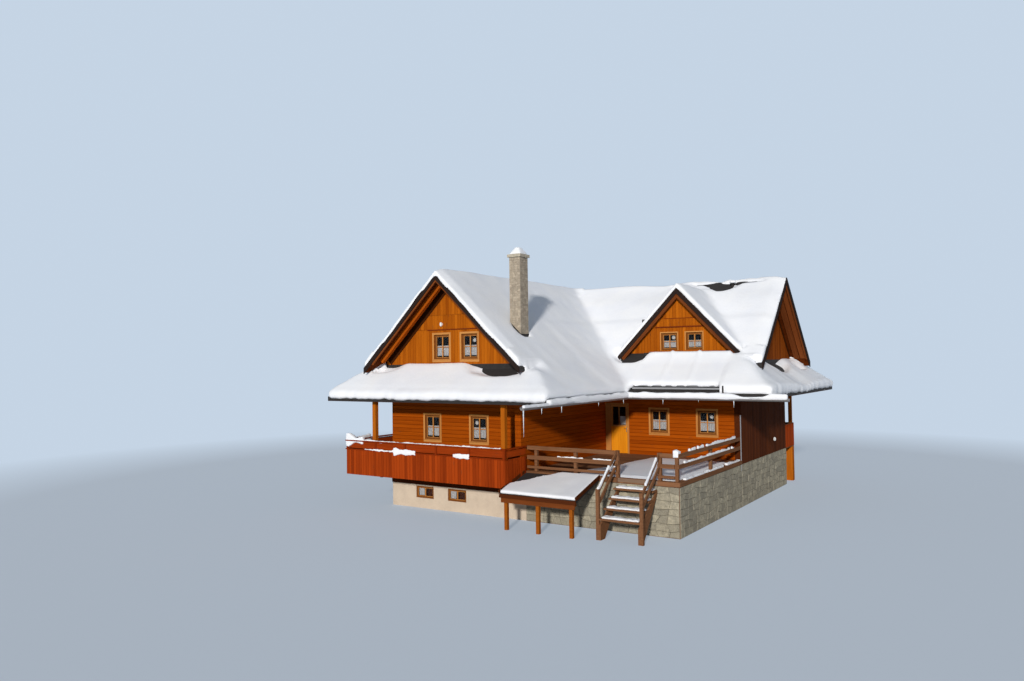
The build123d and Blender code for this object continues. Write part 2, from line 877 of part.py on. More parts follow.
side_posts = 2
with BuildPart() as terrace_side_rail:
    side_step = (entrance_y - rail_clear - rail_post - rail_y) / side_posts
    for index in range(side_posts):
        y = rail_y + index * side_step
        block(terrace_right - rail_post - rail_t, terrace_right - rail_t, y, y + rail_post,
              floor_z, floor_z + rail_height)
    for z in (floor_z + rail_height - rail_w, floor_z + rail_low):
        block(terrace_right - rail_t, terrace_right, terrace_front, entrance_y - rail_clear,
              z, z + rail_w)
finish(terrace_side_rail, "terrace_side_rail")

stair_rise = ground_drop / stair_steps
tread_t = 60
tread_nose = 20
stringer_t = 60
stringer_h = 250
stringer_foot = 300
stair_foot_y = terrace_front - stair_going * stair_steps
stair_rail_drop = 400
with BuildPart() as stairs:
    for x in (stair_left, stair_right - stringer_t):
        prism_x(
            [
                (terrace_front, floor_z - terrace_t - stringer_h),
                (terrace_front, floor_z - stair_rise),
                (stair_foot_y, floor_z - ground_drop - stair_rise + tread_t),
                (stair_foot_y, 0),
                (stair_foot_y + stringer_foot, 0),
            ],
            x, x + stringer_t)
    for index in range(stair_steps):
        nose = terrace_front - stair_going * (index + 1)
        top = floor_z - stair_rise * (index + 1)
        block(stair_left, stair_right, nose - tread_nose, nose + stair_going, top - tread_t, top)
finish(stairs, "stairs")

with BuildPart() as stair_rails:
    post_head = floor_z - ground_drop + rail_height
    for x in (stair_left - rail_post, stair_right):
        block(x, x + rail_post, stair_foot_y, stair_foot_y + rail_post, 0, post_head)
        for drop in (0, stair_rail_drop):
            prism_x(
                [
                    (terrace_front, floor_z + rail_height - drop),
                    (terrace_front, floor_z + rail_height - rail_w - drop),
                    (stair_foot_y + rail_post, post_head - rail_w - drop),
                    (stair_foot_y + rail_post, post_head - drop),
                ],
                x + (rail_post - rail_t) / 2, x + (rail_post + rail_t) / 2)
finish(stair_rails, "stair_rails")

# Lean-to in front of the terrace
shed_front = terrace_front - shed_depth
shed_fall = (shed_front_drop - shed_back_drop) / shed_depth


def shed_top(y):
    """Height of the lean-to roof's upper face."""
    return floor_z - shed_back_drop - shed_fall * (terrace_front - y)


def shed_section(y0, y1, under, over):
    """Section of the lean-to roof between two depths, from one height over its face to another."""
    return [
        (y1, shed_top(y1) + over),
        (y0, shed_top(y0) + over),
        (y0, shed_top(y0) + under),
        (y1, shed_top(y1) + under),
    ]


with BuildPart() as shed_roof:
    prism_x(shed_section(shed_front, terrace_front, -shed_t, 0), shed_left, shed_right)
finish(shed_roof, "shed_roof")

shed_beam = 120
shed_set = 60
shed_end = 150
with BuildPart() as shed_frame:
    near = shed_front + shed_set
    far = near + shed_beam
    beam_low = shed_top(near) - shed_t - shed_beam
    prism_x(
        [
            (near, shed_top(near) - shed_t),
            (far, shed_top(far) - shed_t),
            (far, beam_low),
            (near, beam_low),
        ],
        shed_left + shed_set, shed_right - shed_set)
    middle = (shed_left + shed_right - shed_beam) / 2
    for x in (shed_left + shed_end, middle, shed_right - shed_end - shed_beam):
        block(x, x + shed_beam, near, far, 0, beam_low)
finish(shed_frame, "shed_frame")

# Snow on the lean-to, bare in its sheltered back corner, and the cap of snow on the chimney
bare_x = 1500
bare_y = 1150
with BuildPart() as snow_caps:
    prism_x(shed_section(shed_front, terrace_front, 0, shed_snow), shed_left, shed_right)
    prism_z(
        [
            (shed_left, terrace_front),
            (shed_left + bare_x, terrace_front),
            (shed_left, terrace_front - bare_y),
        ],
        low_z, high_z, Mode.SUBTRACT)
    with BuildSketch(Plane.XY.offset(chimney_top)) as cap_plan:
        with Locations((chimney_x, chimney_y)):
            Rectangle(chimney_w + cap_over, chimney_d + cap_over)
    extrude(amount=cap_snow, taper=cap_snow_taper)
finish(snow_caps, "snow_caps")

# Entrance door: it turns on pins that stand on the left jamb
leaf_in = 30
leaf_foot = 12
hinge_r = 8
hinge_play = 0.3
hinge_len = 100
hinge_slack = 5
hinge_web = 6
hinge_heights = (220, 1000, 1780)
leaf_left = door_left + jamb + leaf_gap
leaf_right = door_right - jamb - leaf_gap
leaf_low = floor_z + leaf_foot
leaf_head = door_head - jamb - leaf_gap
leaf_y = entrance_y + leaf_in
pivot_y = leaf_y + leaf_thick
with BuildPart() as door_frame:
    block(half_width, door_right, entrance_y, entrance_y + wall_thick, floor_z, door_head)
    block(door_left + jamb, door_right - jamb, entrance_y, entrance_y + wall_thick,
          floor_z, door_head - jamb, Mode.SUBTRACT)
    for height in hinge_heights:
        middle = floor_z + height
        with Locations((leaf_left, pivot_y, middle)):
            Cylinder(hinge_r, hinge_len)
        block(door_left + jamb, leaf_left, pivot_y - hinge_web / 2, pivot_y + hinge_web / 2,
              middle - hinge_len / 2, middle + hinge_len / 2)
finish(door_frame, "door_frame")

light_from_floor = 1200
light_sill = floor_z + light_from_floor
light_edge = 65
with BuildPart() as door_leaf:
    block(leaf_left, leaf_right, leaf_y, leaf_y + leaf_thick, leaf_low, leaf_head)
    block(leaf_left + light_edge, leaf_right - light_edge, leaf_y, leaf_y + leaf_thick,
          light_sill, leaf_head - light_edge, Mode.SUBTRACT)
    for height in hinge_heights:
        with Locations((leaf_left, pivot_y, floor_z + height)):
            Cylinder(hinge_r + hinge_play, hinge_len + 2 * hinge_slack, mode=Mode.SUBTRACT)
finish(door_leaf, "door_leaf")

with BuildPart() as door_glass:
    pane_in = (leaf_thick - glass_t) / 2
    block(leaf_left + light_edge, leaf_right - light_edge, leaf_y + pane_in,
          leaf_y + pane_in + glass_t, light_sill, leaf_head - light_edge)
finish(door_glass, "door_glass")


def frame_y(x, sill, y0, width=window_w, height=window_h):
    """A window frame in a wall that faces along Y."""
    block(x - width / 2, x + width / 2, y0, y0 + frame_t, sill, sill + height)
    block(x - width / 2 + frame_w, x + width / 2 - frame_w, y0, y0 + frame_t,
          sill + frame_w, sill + height - frame_w, Mode.SUBTRACT)


def frame_x(y, sill, x0):
    """A window frame in a wall that faces along X."""
    block(x0, x0 + frame_t, y - window_w / 2, y + window_w / 2, sill, sill + window_h)
    block(x0, x0 + frame_t, y - window_w / 2 + frame_w, y + window_w / 2 - frame_w,
          sill + frame_w, sill + window_h - frame_w, Mode.SUBTRACT)


def pane_y(x, sill, y0, width=window_w, height=window_h):
    """Glass in a frame that faces along Y."""
    middle = y0 + (frame_t - glass_t) / 2
    block(x - width / 2 + frame_w, x + width / 2 - frame_w, middle, middle + glass_t,
          sill + frame_w, sill + height - frame_w)


def pane_x(y, sill, x0):
    """Glass in a frame that faces along X."""
    middle = x0 + (frame_t - glass_t) / 2
    block(middle, middle + glass_t, y - window_w / 2 + frame_w, y + window_w / 2 - frame_w,
          sill + frame_w, sill + window_h - frame_w)


with BuildPart() as lower_window_frames:
    for x in front_window_x:
        frame_y(x, ground_sill, front_y + frame_in)
    for x in entrance_window_x:
        frame_y(x, ground_sill, entrance_y + frame_in)
    for x in rear_window_x:
        frame_y(x, ground_sill, rear_y - frame_in - frame_t)
    for y in left_window_y:
        frame_x(y, ground_sill, -half_width + frame_in)
    for x in basement_window_x:
        frame_y(x, basement_window_z, front_y + frame_in, basement_window_w, basement_window_h)
finish(lower_window_frames, "lower_window_frames")

with BuildPart() as lower_glass:
    for x in front_window_x:
        pane_y(x, ground_sill, front_y + frame_in)
    for x in entrance_window_x:
        pane_y(x, ground_sill, entrance_y + frame_in)
    for x in rear_window_x:
        pane_y(x, ground_sill, rear_y - frame_in - frame_t)
    for y in left_window_y:
        pane_x(y, ground_sill, -half_width + frame_in)
    for x in basement_window_x:
        pane_y(x, basement_window_z, front_y + frame_in, basement_window_w, basement_window_h)
finish(lower_glass, "lower_glass")

with BuildPart() as attic_window_frames:
    for x in attic_window_x:
        frame_y(x, attic_sill, front_gable_y + frame_in)
    for x in dormer_window_x:
        frame_y(x, dormer_sill, entrance_y + frame_in, dormer_window_w, dormer_window_h)
finish(attic_window_frames, "attic_window_frames")

with BuildPart() as attic_glass:
    for x in attic_window_x:
        pane_y(x, attic_sill, front_gable_y + frame_in)
    for x in dormer_window_x:
        pane_y(x, dormer_sill, entrance_y + frame_in, dormer_window_w, dormer_window_h)
finish(attic_glass, "attic_glass")

# Porch behind the main wing, its end in line with the end wall
porch_depth = 1500
porch_width = 3920
porch_t = 180
pier = 300
porch_post = 150
porch_left = end_wall_x - porch_width
porch_back = rear_y + porch_depth
with BuildPart() as rear_porch:
    block(porch_left, end_wall_x, rear_y, porch_back, floor_z - porch_t, floor_z)
    block(end_wall_x - board_t, end_wall_x, rear_y, porch_back, floor_z, floor_z + rail_height)
    block(porch_left, end_wall_x - board_t, porch_back - board_t, porch_back,
          floor_z, floor_z + rail_height)
    block(porch_left, porch_left + board_t, rear_y, porch_back - board_t,
          floor_z, floor_z + rail_height)
finish(rear_porch, "rear_porch")

with BuildPart() as porch_posts:
    near = porch_back - board_t - porch_post
    far = porch_back - board_t
    for x in (porch_left + board_t, end_wall_x - board_t - porch_post):
        prism_x(
            [
                (near, floor_z),
                (near, deck_z(near - main_ridge_y) - deck_thick),
                (far, deck_z(far - main_ridge_y) - deck_thick),
                (far, floor_z),
            ],
            x, x + porch_post)
    for x in (porch_left, end_wall_x - pier):
        block(x, x + pier, porch_back - pier, porch_back, 0, floor_z - porch_t)
finish(porch_posts, "porch_posts")
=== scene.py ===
# %% [markdown]
# # A mountain chalet in timber, under snow
# The CAD model brings the walls, floors, roof slopes, railings and the entrance door, each as a node in
# metres. This lesson dresses it: every node gets a finish of its own, and boards, sashes, curtains,
# rafters and snow are added where the real house has them. Nothing in the CAD model is moved.
#
# The CAD nodes are read from model.glb as Blender objects. The size of the whole is noted first, and the
# lining under the eaves is held inside it further on.

# %% Load the frame
import math
import random

import bmesh
import bpy
from mathutils import Matrix, Vector, noise
from mathutils.bvhtree import BVHTree


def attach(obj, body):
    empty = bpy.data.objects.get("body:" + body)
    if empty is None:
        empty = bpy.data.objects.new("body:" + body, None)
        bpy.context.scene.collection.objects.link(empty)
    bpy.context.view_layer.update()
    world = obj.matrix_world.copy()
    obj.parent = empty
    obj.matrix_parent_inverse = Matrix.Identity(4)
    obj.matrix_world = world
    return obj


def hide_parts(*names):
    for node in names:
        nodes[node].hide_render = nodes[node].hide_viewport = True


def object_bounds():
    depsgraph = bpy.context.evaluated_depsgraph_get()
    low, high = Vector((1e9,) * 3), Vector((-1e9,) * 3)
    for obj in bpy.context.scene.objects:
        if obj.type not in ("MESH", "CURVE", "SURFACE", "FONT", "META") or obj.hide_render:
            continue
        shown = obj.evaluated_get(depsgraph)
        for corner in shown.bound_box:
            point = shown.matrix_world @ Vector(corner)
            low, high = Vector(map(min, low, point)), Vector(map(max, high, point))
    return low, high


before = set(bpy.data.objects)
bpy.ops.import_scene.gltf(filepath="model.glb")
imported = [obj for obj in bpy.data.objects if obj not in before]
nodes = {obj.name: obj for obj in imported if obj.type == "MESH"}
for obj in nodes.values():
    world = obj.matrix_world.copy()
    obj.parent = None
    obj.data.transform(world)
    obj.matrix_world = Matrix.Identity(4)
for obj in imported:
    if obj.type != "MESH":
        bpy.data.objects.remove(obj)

scene = bpy.context.scene
cad_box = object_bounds()
print("CAD nodes:", len(nodes), "box:", [round(value, 3) for corner in cad_box for value in corner])

# %% [markdown]
# ## Camera
# The house is seen from the front right, about as high as the eaves. A camera could be aimed with a Track
# To constraint, but that can't hold a slight roll. Here it is a matrix: its columns are the directions to
# the right, up and backwards, and its place. Written that way, yaw, pitch and roll stay readable.

# %% Camera
CAMERA_PLACE = (18.661, -23.910, 5.752)
camera_data = bpy.data.cameras.new("camera")
camera_data.sensor_width = 36
camera_data.lens = 27.26
camera = bpy.data.objects.new("camera", camera_data)
scene.collection.objects.link(camera)
scene.camera = camera
yaw, pitch, roll = math.radians(33.864), math.radians(1.608), math.radians(-0.761)
forward = Vector((-math.sin(yaw) * math.cos(pitch), math.cos(yaw) * math.cos(pitch), math.sin(pitch)))
level = Vector((math.cos(yaw), math.sin(yaw), 0))
upright = level.cross(forward)
right = level * math.cos(roll) + upright * math.sin(roll)
up = upright * math.cos(roll) - level * math.sin(roll)
turned = Matrix((right, up, -forward)).transposed().to_4x4()
camera.matrix_world = Matrix.Translation(CAMERA_PLACE) @ turned
print("camera at", [round(value, 2) for value in camera.matrix_world.translation])

# %% [markdown]
# ## Nodes of a material
# A material is a tree of nodes. They could be wired by hand in the shader editor, but a house needs
# dozens of materials, and a script can repeat the wiring. One helper places a node, sets its options and
# feeds its inputs: a socket is linked, anything else is written in as the value. The others name what is
# often needed: a sum, a mix of colours, a range, cloudy noise, scattered points and a pattern drawn out
# along one direction.


# %% Helpers for node trees
def add_node(tree, kind, inputs=None, **options):
    """Place a node, set its options and feed its inputs with sockets or plain values."""
    made = tree.nodes.new("ShaderNode" + kind)
    for name, value in options.items():
        setattr(made, name, value)
    for name, value in (inputs or {}).items():
        if isinstance(value, bpy.types.NodeSocket):
            tree.links.new(value, made.inputs[name])
        else:
            made.inputs[name].default_value = value
    return made


def maths(tree, operation, first, second=0.0, clamp=False):
    """One sum on values."""
    return add_node(tree, "Math", {0: first, 1: second}, operation=operation, use_clamp=clamp).outputs[0]


def blend_colours(tree, share, first, second, how="MIX"):
    """Mix two colours."""
    made = add_node(tree, "Mix", {0: share, 6: first, 7: second}, data_type="RGBA", blend_type=how)
    return made.outputs[2]


def spread(tree, value, low, high, new_low=0.0, new_high=1.0):
    """Map a range of values to another, held at its ends."""
    ranges = {"Value": value, "From Min": low, "From Max": high, "To Min": new_low, "To Max": new_high}
    return add_node(tree, "MapRange", ranges).outputs[0]


def speckle(tree, place, scale, detail=4.0, rough=0.6, bend=0.0):
    """Cloudy noise at a scale."""
    ranges = {"Vector": place, "Scale": scale, "Detail": detail, "Roughness": rough, "Distortion": bend}
    return add_node(tree, "TexNoise", ranges).outputs["Fac"]


def stretch(tree, place, scale):
    """Scale a place by three numbers, to draw a pattern out along one direction."""
    return add_node(tree, "Mapping", {"Vector": place, "Scale": scale}).outputs[0]


def cells(tree, place, scale):
    """Distance to the nearest of scattered points, for knots, holes and threads."""
    return add_node(tree, "TexVoronoi", {"Vector": place, "Scale": scale}, feature="F1").outputs["Distance"]


def rgba(red, green, blue):
    """A colour with full alpha."""
    return (red, green, blue, 1.0)


def new_group(name, inputs, outputs):
    """A shader node group with named sockets."""
    group = bpy.data.node_groups.new(name, "ShaderNodeTree")
    kinds = {"value": "NodeSocketFloat", "colour": "NodeSocketColor", "vector": "NodeSocketVector"}
    for socket, kind in inputs.items():
        group.interface.new_socket(socket, in_out="INPUT", socket_type=kinds[kind])
    for socket, kind in outputs.items():
        group.interface.new_socket(socket, in_out="OUTPUT", socket_type=kinds[kind])
    return group, group.nodes.new("NodeGroupInput").outputs, group.nodes.new("NodeGroupOutput")


print("helpers for node trees are ready")

# %% [markdown]
# ## Wood
# Every plank of the house shows long grain, fine fibres, a few knots and its own tone. A picture of wood
# would repeat visibly on walls this long, so the grain is noise, drawn out along the plank. All timber
# materials share one group that works from a place whose first axis runs along the grain. Each material
# then brings its own two colours.

# %% Grain of wood
wood_group, given, out = new_group(
    "wood_grain",
    {"Place": "vector", "Tone": "value", "Light": "colour", "Dark": "colour", "Knots": "value"},
    {"Colour": "colour", "Roughness": "value", "Height": "value"},
)
long_grain = speckle(wood_group, stretch(wood_group, given["Place"], (0.7, 17.0, 17.0)), 1.0, 5.0, 0.62, 0.7)
fibres = speckle(wood_group, stretch(wood_group, given["Place"], (4.0, 190.0, 190.0)), 1.0, 3.0, 0.55)
knot_cells = cells(wood_group, stretch(wood_group, given["Place"], (1.3, 5.5, 5.5)), 1.0)
knot = maths(wood_group, "MULTIPLY", spread(wood_group, knot_cells, 0.05, 0.15, 1.0, 0.0), given["Knots"])
grain_part = maths(wood_group, "MULTIPLY", spread(wood_group, long_grain, 0.32, 0.68), 0.45)
fibre_part = maths(wood_group, "MULTIPLY", fibres, 0.2)
share = maths(wood_group, "ADD", maths(wood_group, "ADD", given["Tone"], grain_part), fibre_part, clamp=True)
stained = blend_colours(wood_group, share, given["Dark"], given["Light"])
knot_share = maths(wood_group, "MULTIPLY", knot, 0.75)
knotted = blend_colours(wood_group, knot_share, stained, rgba(0.1, 0.045, 0.02))
wood_group.links.new(knotted, out.inputs["Colour"])
wood_group.links.new(spread(wood_group, fibres, 0.3, 0.7, 0.62, 0.88), out.inputs["Roughness"])
relief = maths(wood_group, "ADD", maths(wood_group, "MULTIPLY", fibres, 0.5), long_grain)
wood_group.links.new(maths(wood_group, "SUBTRACT", relief, maths(wood_group, "MULTIPLY", knot, 0.4)),
                     out.inputs["Height"])
print("group", wood_group.name, "with", len(wood_group.nodes), "nodes")


# %% [markdown]
# ## Timber materials
# A log wall is one CAD mesh, yet each log has its own tone. One could cut it into logs, but a wall's
# material can also count the courses from its height: every number gets a tone and a shift of the grain,
# with a dark groove between two courses. Loose boards carry their tone and the place on the board in
# their corners instead, so one material serves boards that lie in any direction.

# %% Make a timber material
def start_material(name):
    """A new material with an empty tree, its shader and its output."""
    material = bpy.data.materials.new(name)
    material.use_nodes = True
    tree = material.node_tree
    tree.nodes.clear()
    shader = tree.nodes.new("ShaderNodeBsdfPrincipled")
    output = tree.nodes.new("ShaderNodeOutputMaterial")
    tree.links.new(shader.outputs[0], output.inputs["Surface"])
    return material, tree, shader


def put_bump(tree, shader, height, strength, distance):
    """Let a height shape the light on the surface."""
    bump = add_node(tree, "Bump", {"Height": height, "Strength": strength, "Distance": distance})
    tree.links.new(bump.outputs[0], shader.inputs["Normal"])


def wear(tree, shader, grain, strength, distance, colour=None, height=None):
    """Dress a shader in what a group draws: its colour and height, or changed ones, and its roughness."""
    tree.links.new(colour or grain.outputs["Colour"], shader.inputs["Base Color"])
    tree.links.new(grain.outputs["Roughness"], shader.inputs["Roughness"])
    put_bump(tree, shader, height or grain.outputs["Height"], strength, distance)


def turned_place(tree, along):
    """The object's own place with the axis of the grain put first."""
    place = add_node(tree, "TexCoord").outputs["Object"]
    parts = add_node(tree, "SeparateXYZ", {0: place}).outputs
    order = [parts[(along + step) % 3] for step in range(3)]
    return add_node(tree, "CombineXYZ", {0: order[0], 1: order[1], 2: order[2]}).outputs[0], parts


def timber(name, light, dark, along=None, course=None, course_axis=2, course_start=0.0, knots=0.6,
           relief=0.5, tone_weight=0.5):
    """Wood whose grain follows the boards' own attribute, or one axis of the house where along is given.

    A course is the width of a log or board in a wall: each gets a tone and a stretch of grain of its own.
    """
    material, tree, shader = start_material(name)
    if along is None:
        place = add_node(tree, "Attribute", attribute_name="grain").outputs["Vector"]
        tone = add_node(tree, "Attribute", attribute_name="tone").outputs["Fac"]
        parts = None
    else:
        place, parts = turned_place(tree, along)
        tone = speckle(tree, place, 0.5)
    groove = None
    if course and parts:
        count = maths(tree, "DIVIDE", maths(tree, "SUBTRACT", parts[course_axis], course_start), course)
        number = maths(tree, "FLOOR", count)
        tone = add_node(tree, "TexWhiteNoise", {"W": number}, noise_dimensions="1D").outputs["Value"]
        shift = add_node(tree, "CombineXYZ", {0: maths(tree, "MULTIPLY", number, 7.3)}).outputs[0]
        place = add_node(tree, "VectorMath", {0: place, 1: shift}, operation="ADD").outputs[0]
        edge = maths(tree, "ABSOLUTE", maths(tree, "SUBTRACT", maths(tree, "FRACT", count), 0.5))
        groove = spread(tree, edge, 0.455, 0.5, 0.0, 1.0)
    inputs = {"Place": place, "Tone": maths(tree, "MULTIPLY", tone, tone_weight), "Light": light,
              "Dark": dark, "Knots": knots}
    grain = add_node(tree, "Group", inputs, node_tree=wood_group)
    colour, height = grain.outputs["Colour"], grain.outputs["Height"]
    if groove is not None:
        colour = blend_colours(tree, maths(tree, "MULTIPLY", groove, 0.7), colour,
                               rgba(*(value * 0.3 for value in dark[:3])))
        height = maths(tree, "SUBTRACT", height, maths(tree, "MULTIPLY", groove, 3.0))
    wear(tree, shader, grain, relief, 0.004, colour, height)
    shader.inputs["Specular IOR Level"].default_value = 0.02
    return material


print("a timber material can be made from two colours")

# %% [markdown]
# ## Timbers of the house
# The sun-lit wood is orange, boards in shade are nearly black, and what stands in the weather has turned
# brown-grey. The nearly black boards are painted shade: the same wood is given darker colours where it lies
# in shade. One material with a colour for each object would do too, but then knots, grooves and relief
# would be the same on all. So each timber is one line: its light and dark colour, and for the CAD nodes
# the axis of the grain and the width and start of the courses.

# %% Timbers of the house
LOG_PITCH, LOG_START, BOARD_PITCH = 0.15, 1.65, 0.14
log_light, log_dark = rgba(0.44, 0.085, 0.003), rgba(0.21, 0.032, 0.001)
log_x = timber("logs_along_x", log_light, log_dark, 0, LOG_PITCH, 2, LOG_START)
log_y = timber("logs_along_y", log_light, log_dark, 1, LOG_PITCH, 2, LOG_START)
post_wood = timber("post_timber", rgba(0.54, 0.15, 0.01), rgba(0.28, 0.06, 0.003), 2)
beam_x = timber("beam_timber", rgba(0.42, 0.12, 0.012), rgba(0.2, 0.045, 0.005), 0)
gable_wood = timber("gable_boards", rgba(0.47, 0.122, 0.006), rgba(0.225, 0.042, 0.002), tone_weight=0.75)
# The end gable lies in shade: its boards are the front gable's wood in darker colours, as painted shade.
end_gable_wood = timber("shaded_gable_boards", rgba(0.26, 0.06, 0.006), rgba(0.12, 0.022, 0.002),
                        tone_weight=0.75)
trim_wood = timber("pale_joinery", rgba(0.64, 0.29, 0.08), rgba(0.43, 0.165, 0.04), knots=0.2)
# The window frames are darker than the casings: painted shade in the reveals, so the panes look larger.
frame_wood = timber("window_frames", rgba(0.24, 0.085, 0.02), rgba(0.13, 0.04, 0.008), 2, knots=0.1)
door_wood = timber("door_boards", rgba(0.84, 0.31, 0.013), rgba(0.6, 0.18, 0.006), knots=0.3)
balcony_wood = timber("balcony_boards", rgba(0.4, 0.055, 0.006), rgba(0.17, 0.02, 0.003), tone_weight=0.7)
# This dark red-brown is painted shade; it dresses the battens on the gable joints.
dark_red_wood = timber("shaded_red_board", rgba(0.2, 0.035, 0.008), rgba(0.09, 0.014, 0.004))
grey_light, grey_dark = rgba(0.29, 0.135, 0.065), rgba(0.1, 0.042, 0.02)
grey_wood = timber("weathered_boards", grey_light, grey_dark, knots=0.5, relief=0.8)
# dark_cladding and dark_wall_timber are nearly black as painted shade on the end wall; the balcony carriers,
# inner shutters and lean-to edges share the dark cladding.
dark_wood = timber("dark_cladding", rgba(0.11, 0.028, 0.008), rgba(0.045, 0.011, 0.004), tone_weight=0.6)
dark_x = timber("dark_wall_timber", rgba(0.11, 0.026, 0.006), rgba(0.045, 0.01, 0.003), 1)
verge_wood = timber("black_brown_verge", rgba(0.055, 0.035, 0.028), rgba(0.016, 0.011, 0.01), knots=0.1)
# board_in_shade is painted shadow: strips of it on the gable walls stand for the shade under the verges.
shade_board = timber("board_in_shade", rgba(0.05, 0.013, 0.003), rgba(0.026, 0.006, 0.001))
verge_trim = timber("inner_verge_board", rgba(0.24, 0.065, 0.016), rgba(0.1, 0.026, 0.007), knots=0.3)
rafter_wood = timber("rafter_timber", rgba(0.5, 0.11, 0.006), rgba(0.28, 0.05, 0.003))
# The lining under the eaves is nearly black: painted shade, darker than the same boards would be in light.
soffit_x = timber("lining_along_x", rgba(0.12, 0.024, 0.003), rgba(0.05, 0.009, 0.001), 0, BOARD_PITCH, 1)
soffit_y = timber("lining_along_y", rgba(0.12, 0.024, 0.003), rgba(0.05, 0.009, 0.001), 1, BOARD_PITCH, 0)
grey_x = timber("weathered_along_x", grey_light, grey_dark, 0, relief=0.8)
grey_y = timber("weathered_along_y", grey_light, grey_dark, 1, relief=0.8)
grey_z = timber("weathered_upright", grey_light, grey_dark, 2, BOARD_PITCH, 0, relief=0.8)
floor_wood = timber("floor_boards", rgba(0.5, 0.33, 0.17), rgba(0.3, 0.18, 0.09), 0, BOARD_PITCH, 1)
terrace_wood = timber("terrace_boards", rgba(0.38, 0.26, 0.18), rgba(0.15, 0.09, 0.06), 0, BOARD_PITCH, 1,
                      relief=0.8)
print("timber materials:", len(bpy.data.materials))

# %% [markdown]
# ## Snow
# Snow is never a flat white: it is a little blue, packed in places, and its surface is grainy. Three
# sizes of noise serve: wide drifts shift the colour, a crust makes the relief, and crystals make the
# gloss uneven. Light that travels inside the snow could be drawn with subsurface scattering, but on a
# whole house seen from this far it costs time and changes nothing.

# %% Snow
snow_group, given, out = new_group(
    "snow_grain", {"Place": "vector"}, {"Colour": "colour", "Roughness": "value", "Height": "value"})
drift = speckle(snow_group, given["Place"], 0.9, 4.0, 0.55)
crust = speckle(snow_group, given["Place"], 9.0, 5.0, 0.6)
crystals = speckle(snow_group, given["Place"], 90.0, 2.0, 0.7)
packed = spread(snow_group, drift, 0.35, 0.65)
snow_colour = blend_colours(snow_group, packed, rgba(0.89, 0.905, 0.945), rgba(0.94, 0.945, 0.96))
snow_group.links.new(snow_colour, out.inputs["Colour"])
snow_group.links.new(spread(snow_group, crystals, 0.3, 0.7, 0.45, 0.8), out.inputs["Roughness"])
lumps = maths(snow_group, "ADD", crust, maths(snow_group, "MULTIPLY", crystals, 0.25))
waves = maths(snow_group, "MULTIPLY", drift, 2.0)
snow_group.links.new(maths(snow_group, "ADD", lumps, waves), out.inputs["Height"])


def grouped_finish(name, group, strength, distance, inputs):
    """A material on one of the groups, at the object's own place; gives its tree and shader too."""
    material, tree, shader = start_material(name)
    grain = add_node(tree, "Group", {"Place": add_node(tree, "TexCoord").outputs["Object"], **inputs},
                     node_tree=group)
    wear(tree, shader, grain, strength, distance)
    return material, tree, shader, grain


snow_white = grouped_finish("lying_snow", snow_group, 0.35, 0.02, {})[0]
print("group", snow_group.name, "with", len(snow_group.nodes), "nodes")

# %% [markdown]
# ## Plaster and stone
# The basement is plastered, the plinth and the chimney are rough stone. All three share a group of rough
# patches between two colours with pale grit on top. The stones that are laid in front of the walls
# further on bring a tone in their corners, so that each can be lighter or darker than its neighbour.

# %% Plaster and stone
patch_group, given, out = new_group(
    "rough_patches", {"Place": "vector", "Light": "colour", "Dark": "colour", "Scale": "value"},
    {"Colour": "colour", "Roughness": "value", "Height": "value"})
big = add_node(patch_group, "TexNoise", {"Vector": given["Place"], "Scale": given["Scale"], "Detail": 6.0,
                                         "Roughness": 0.65}).outputs["Fac"]
fine = speckle(patch_group, given["Place"], 70.0, 3.0, 0.7)
patch = blend_colours(patch_group, spread(patch_group, big, 0.3, 0.7), given["Dark"], given["Light"])
grit_share = spread(patch_group, fine, 0.35, 0.65, 0.0, 0.25)
grit = blend_colours(patch_group, grit_share, patch, rgba(0.9, 0.86, 0.76))
patch_group.links.new(grit, out.inputs["Colour"])
patch_group.links.new(spread(patch_group, fine, 0.3, 0.7, 0.75, 0.95), out.inputs["Roughness"])
patch_group.links.new(maths(patch_group, "ADD", big, maths(patch_group, "MULTIPLY", fine, 0.3)),
                      out.inputs["Height"])


def masonry(name, light, dark, scale, relief):
    """Plaster or stone on the group above."""
    return grouped_finish(name, patch_group, relief, 0.01, {"Light": light, "Dark": dark, "Scale": scale})[0]


def toned_stone(name, light, dark):
    """Stone between two colours by the tone that its corners carry, with rough patches."""
    inputs = {"Dark": dark, "Scale": 9.0}
    material, tree, shader, grain = grouped_finish(name, patch_group, 0.8, 0.008, inputs)
    tone = add_node(tree, "Attribute", attribute_name="tone").outputs["Fac"]
    tree.links.new(blend_colours(tree, tone, dark, light), grain.inputs["Light"])
    shader.inputs["Specular IOR Level"].default_value = 0.2
    return material


plaster = masonry("cream_plaster", rgba(0.64, 0.505, 0.37), rgba(0.53, 0.41, 0.3), 2.5, 0.3)
chimney_stone = masonry("chimney_stone", rgba(0.52, 0.44, 0.31), rgba(0.27, 0.23, 0.17), 7.0, 0.8)
plinth_stone = masonry("plinth_stone", rgba(0.42, 0.38, 0.24), rgba(0.22, 0.19, 0.12), 5.0, 0.9)
stone_mix = toned_stone("rubble_stones", rgba(0.5, 0.44, 0.3), rgba(0.14, 0.12, 0.08))
brick_mix = toned_stone("chimney_courses", rgba(0.56, 0.45, 0.32), rgba(0.2, 0.15, 0.1))
print("group", patch_group.name, "with", len(patch_group.nodes), "nodes")

# %% [markdown]
# ## Glass, ice, sheet metal and roofing
# These are smooth and thin, so a little cloudiness in their colour and gloss is enough. A pane could bend
# the light as real glass does. Here it is dark, glossy and partly see-through by its alpha, which shows
# the curtains behind it without noise in the picture.

